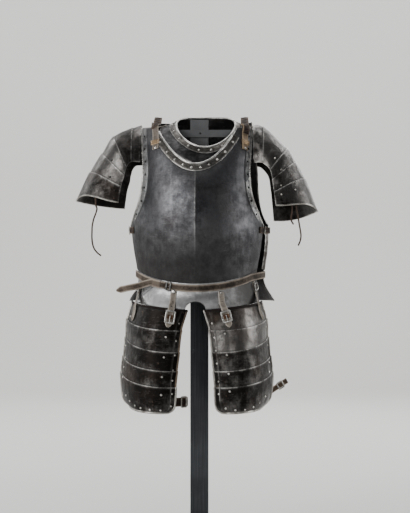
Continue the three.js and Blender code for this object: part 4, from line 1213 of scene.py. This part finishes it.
def make_shoulder_straps():
    width = SHOULDER_STRAP["width"]
    for (_, end), leather, first_upper in zip(SIDES, ("pale_leather", "gold_leather"), (3, 2)):
        x = SHOULDER_STRAP[end]

        def front(z, height=GAP):
            return CHEST_PLATE.station(turn_for(CHEST, z, x), z, height)

        def rear(z, height=GAP):
            return BACK_PLATE.station(turn_for(BACK, z, x - BACK_SHIFT), z, height)

        def free(y, z, lean):
            return np.array((x, y, z)), np.array((0, lean, 1.0))

        stations = [
            front(1.088), front(1.112), front(1.132, 0.001), front(1.147, 0.0048),
            free(-0.030, 1.161, -0.3), free(0.002, 1.172, -0.3),
            free(SHOULDER_STRAP["crest_y"], SHOULDER_STRAP["crest_z"], 0.2),
            rear(1.164, 0.0026), rear(1.140, 0.0014), rear(1.106),
        ]
        make_strap(f"shoulder_{end}", stations, width, 22, leather, f"shoulder_strap_{end}")
        upper = [(p + unit(o) * (LEATHER + GAP), o) for p, o in stations[first_upper:8]]
        make_strap(f"shoulder_upper_{end}", upper, width + 0.001, 12, "dark_leather")
        for k, place in enumerate(UPPER_STITCHES):
            path = [strap_spot(upper, place + on, width * side, LEATHER * up)[0] for on, side, up in STITCH]
            make_tube(f"shoulder_stitch_{k + 1}_{end}", spline(path, np.linspace(0, 1, 9)), STITCH_RADIUS,
                      "brown_leather", sides=8)
        plate = [front(z, LEATHER + 2 * GAP) for z in STRAP_PLATE["heights"]]
        make_strap(f"shoulder_plate_{end}", plate, width + 0.008, 3, "brass", f"strap_plate_{end}",
                   STRAP_PLATE["thick"])
        studs = [strap_spot(plate, 0.5, across, STRAP_PLATE["thick"]) for across in (-0.010, 0.010)]
        make_rivets(f"shoulder_studs_{end}", studs, "brass", radius=0.0024, height=0.0018)
        tip = [strap_spot(stations, 0.012, 0, LEATHER)]
        make_rivets(f"shoulder_rivet_{end}", tip, radius=0.0042, height=0.0026)


def skirt_station(plate, u, z, height=GAP):
    """Station on the fauld or the back skirt at height z."""
    top, hem = plate.at(u, 0)[..., 2], plate.at(u, 1)[..., 2]
    return plate.station(u, (top - z) / (top - hem), height)


def belt_height(u):
    return waist_at(u * SIDE_LIMIT) - BELT["drop"]


def make_belt():
    def on_fauld(u, height):
        return skirt_station(FAULD_PLATE, u, belt_height(u), height)

    def on_skirt(u, height):
        return skirt_station(SKIRT_PLATE, u, BACK_WAIST - BELT["drop"], height)

    def away(x, y, z):
        return np.array((x, y, z)), np.array((-0.6, -0.8, 0.0))

    def leather(name, stations, wider, steps, replaces, **details):
        make_strap(name, stations, BELT["width"] + wider, steps, "belt_leather", replaces, **details)

    lift = BELT["lift"]
    front = [on_fauld(u, lift) for u in BELT["front"]]
    rear = [on_skirt(u, lift + 0.0003) for u in BELT["rear"]]
    loop = [on_fauld(-1, BELT["seat"]), *front, *rear, on_skirt(-0.97, BELT["seat"])]
    leather("belt", loop, 0, 46, "waist_belt", ring=True)
    make_holes("belt_holes", front, np.linspace(0.42, 0.97, 15), radius=0.0019)
    over = lift + LEATHER + GAP
    tail = [
        on_fauld(-0.34, over), on_fauld(-0.43, over), on_fauld(-0.52, over + 0.0003),
        away(-0.157, -0.106, 0.715), away(-0.190, -0.082, 0.708), away(-0.221, -0.060, 0.701),
    ]
    leather("belt_end", tail, -0.001, 14, "belt_tail", tip=0.3, tone=0.03)
    outside = over + LEATHER + GAP
    keeper = [on_fauld(-0.4, outside), on_fauld(-0.45, outside), on_fauld(-0.5, outside + GAP)]
    leather("belt_loop", keeper, 0.001, 4, "belt_keeper", thickness=0.002, tone=0.15)
    along = FAULD_PLATE.at(-0.27, 0.2) - FAULD_PLATE.at(-0.35, 0.2)
    make_frame("belt_frame", on_fauld(-0.3, lift), along, replaces="belt_buckle", material="dark_steel",
               **BELT_BUCKLE)


def make_tasset_straps():
    for name, side, top_x, low_x, buckle_at, buckle_length, rivet_radius, rivet_rise in TASSET_STRAPS:

        def on_fauld(z, height):
            turn = side * turn_for(CHEST, z + 0.020, top_x)
            return skirt_station(FAULD_PLATE, turn / SIDE_LIMIT, z, height)

        def on_tasset(s, share, height):
            return LEGS[side][0].station(tasset_turn(s, top_x + (low_x - top_x) * share), s, height)

        top = belt_height(turn_for(CHEST, 0.720, top_x) / SIDE_LIMIT) - BELT["width"] / 2 - 0.005
        stations = [
            on_fauld(top, 0.0013), on_fauld(top - 0.016, 0.0011), on_fauld(top - 0.030, 0.0015),
            on_tasset(0.03, 0.42, 0.0036), on_tasset(0.14, 0.48, 0.0029),
            on_tasset(0.35, 0.6, 0.0015), on_tasset(0.6, 0.8, 0.001), on_tasset(0.85, 1, 0.001),
        ]
        make_strap(f"tasset_leather_{name}", stations, TASSET_STRAP_WIDTH, 14, "tan_leather",
                   f"tasset_strap_{name}", tip=0.3, tone=0.05)
        along = stations[buckle_at + 1][0] - stations[buckle_at - 1][0]
        make_frame(f"tasset_frame_{name}", stations[buckle_at], along, buckle_length, material="roll_steel",
                   height=LEATHER + BUCKLE_RISE, replaces=f"tasset_buckle_{name}", **TASSET_BUCKLE)
        middle = buckle_at / (len(stations) - 1)
        window = [strap_spot(stations, middle + step, 0, LEATHER + 0.0002) for step in (-0.07, 0, 0.05)]
        make_strap(f"tasset_tongue_{name}", window, TASSET_STRAP_WIDTH - 0.001, 3, "rust_leather",
                   thickness=0.0016)
        make_holes(f"tasset_holes_{name}", stations, (0.26, 0.36) if buckle_at > 1 else (0.45, 0.6))
        point, out = strap_spot(stations, 0.035, 0, LEATHER)
        rivet = (point + np.array((0, -0.2, 1)) * rivet_rise, out)
        make_rivets(f"tasset_top_rivet_{name}", [rivet], radius=rivet_radius, height=0.0028)


def make_side_straps():
    z = SIDE_STRAP["z"]
    for side, end in SIDES:
        stations = [CHEST_PLATE.station(side * turn, z, lift) for turn, lift in SIDE_STRAP["front"]]
        stations += [BACK_PLATE.station(side * turn, z, lift) for turn, lift in SIDE_STRAP["rear"]]
        make_strap(f"side_leather_{end}", stations, SIDE_STRAP["width"], 14, "dark_leather",
                   f"side_strap_{end}")
        along = stations[3][0] - stations[1][0]
        make_frame(f"side_frame_{end}", stations[2], along, **SIDE_BUCKLE)
        studs = [CHEST_PLATE.station(side * turn, z + up, 0.0) for turn, up in SIDE_STRAP["studs"]]
        make_rivets(f"side_studs_{end}", studs)


def make_hangers():
    under = -LAME - LEATHER - HANGER["under"]
    for side, end in SIDES:
        shoulder = Plate(partial(pauldron_at, side), 10, 0.5, ARMPITS[side])
        stations = [GORGET_SLOPE.station(side * HANGER["turn"], slope) for slope in HANGER["slopes"]]
        stations += [shoulder.station(0, 0.3, under - HANGER["dip"]), shoulder.station(0, 0.62, under)]
        make_strap(f"hanger_leather_{end}", stations, HANGER["width"], 8, "tan_leather",
                   f"pauldron_hanger_{end}")


def make_thigh_straps():
    for end, side, turn, s, width, reach, lean, rise, leather in THIGH_STRAPS:
        plate = LEGS[side][int(s)]

        def inside(back):
            return plate.station(turn - math.copysign(back, turn), s, -LAME - LEATHER - THIGH_STRAP_GAP)

        edge, edge_out = inside(0.0)
        ahead = unit((edge - inside(8.0)[0]) * (1, 1, 0))
        x, y, _ = ahead
        bent = xyz(x * cos(lean) - y * sin(lean), x * sin(lean) + y * cos(lean), 0)
        out = xyz(-bent[1], bent[0], 0)
        out = out * np.sign(out @ edge_out)

        def free(share):
            return edge + ahead * PAST_EDGE + (bent * reach + xyz(0, 0, rise)) * share, out

        stations = [inside(26.0), inside(13.0), (edge, edge_out), free(0), free(0.5), free(1)]
        make_strap(f"thigh_leather_{end}", stations, width, 10, leather, f"thigh_strap_{end}")
        along = free(1)[0] - free(0)[0]
        make_frame(f"thigh_frame_{end}", free(0.6), along, width=width + 0.007,
                   replaces=f"thigh_buckle_{end}", prong=False, **THIGH_BUCKLE)


make_shoulder_straps()
make_belt()
make_tasset_straps()
make_side_straps()
make_hangers()
make_thigh_straps()


# Stand: the solids keep their shape and get softened edges
def dress_stand():
    for name in ("stand_base", "stand_post", "stand_crossbar"):
        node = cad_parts[name]
        node.data.materials.clear()
        node.data.materials.append(MATERIALS["paint"])
        softened = node.modifiers.new("edges", "BEVEL")
        softened.width = 0.0008
        softened.segments = 2
        softened.limit_method = "ANGLE"


dress_stand()

# Stage and light
STAGE = {"front": -6.0, "bend_start": 4.3, "bend": 1.3, "top": 5.0, "half": 6.0}
LIGHTS = (
    # name, place, target, size, power
    ("key", (-2.5, -2.2, 1.8), (0, 0, 0.85), 2.0, 105),
    ("side", (3.0, 0.4, 1.3), (0, 0, 0.85), 1.3, 45),
    ("top", (0.3, 0.2, 3.4), (0, 0, 0.9), 1.6, 30),
    ("low", (1.0, -4.6, 0.8), (0, 0, 0.5), 1.0, 22),
    ("rim", (-3.1, 1.5, 1.5), (-0.1, 0, 1.0), 1.0, 26),
    ("back", (1.0, 3.4, 2.4), (0, 0, 0.9), 1.8, 30),
    ("wall_left", (-3.0, 2.2, 3.6), (-0.5, 5.4, 1.3), 2.0, 150),
    ("wall_right", (3.0, 2.2, 3.6), (0.5, 5.4, 1.3), 2.0, 150),
    ("floor", (0, 2.6, 4.2), (0, 3.0, 0), 2.0, 60),
)
WORLD = {"Color": (0.80, 0.82, 0.85, 1.0), "Strength": 0.10}


def make_stage():
    """A floor that bends up into a wall behind the object."""
    start, bend = STAGE["bend_start"], STAGE["bend"]
    angle = np.linspace(0, 90, 12)[1:]
    y = np.concatenate([[STAGE["front"], start], start + bend * sin(angle), [start + bend]])
    z = np.concatenate([[0, 0], bend - bend * cos(angle), [STAGE["top"]]])
    points = xyz((-STAGE["half"], STAGE["half"]), y[:, None], z[:, None]).reshape(-1, 3)
    n = Nodes("floor")
    pale = n.mix(n.noise(0.8, 2), (0.62, 0.615, 0.60), (0.68, 0.675, 0.66))
    floor = n.finish({"Base Color": pale, "Roughness": 0.9})
    add_mesh("floor", points, grid_faces(len(y), 2), floor)


def make_light():
    for name, place, target, size, power in LIGHTS:
        data = bpy.data.lights.new(name, "AREA")
        data.size = size
        data.energy = power
        light = bpy.data.objects.new(name, data)
        light.location = place
        light.rotation_euler = (Vector(target) - Vector(place)).to_track_quat("-Z", "Y").to_euler()
        bpy.context.collection.objects.link(light)
    world = bpy.data.worlds.new("studio")
    bpy.context.scene.world = world
    world.use_nodes = True
    for key, value in WORLD.items():
        world.node_tree.nodes["Background"].inputs[key].default_value = value


make_stage()
make_light()
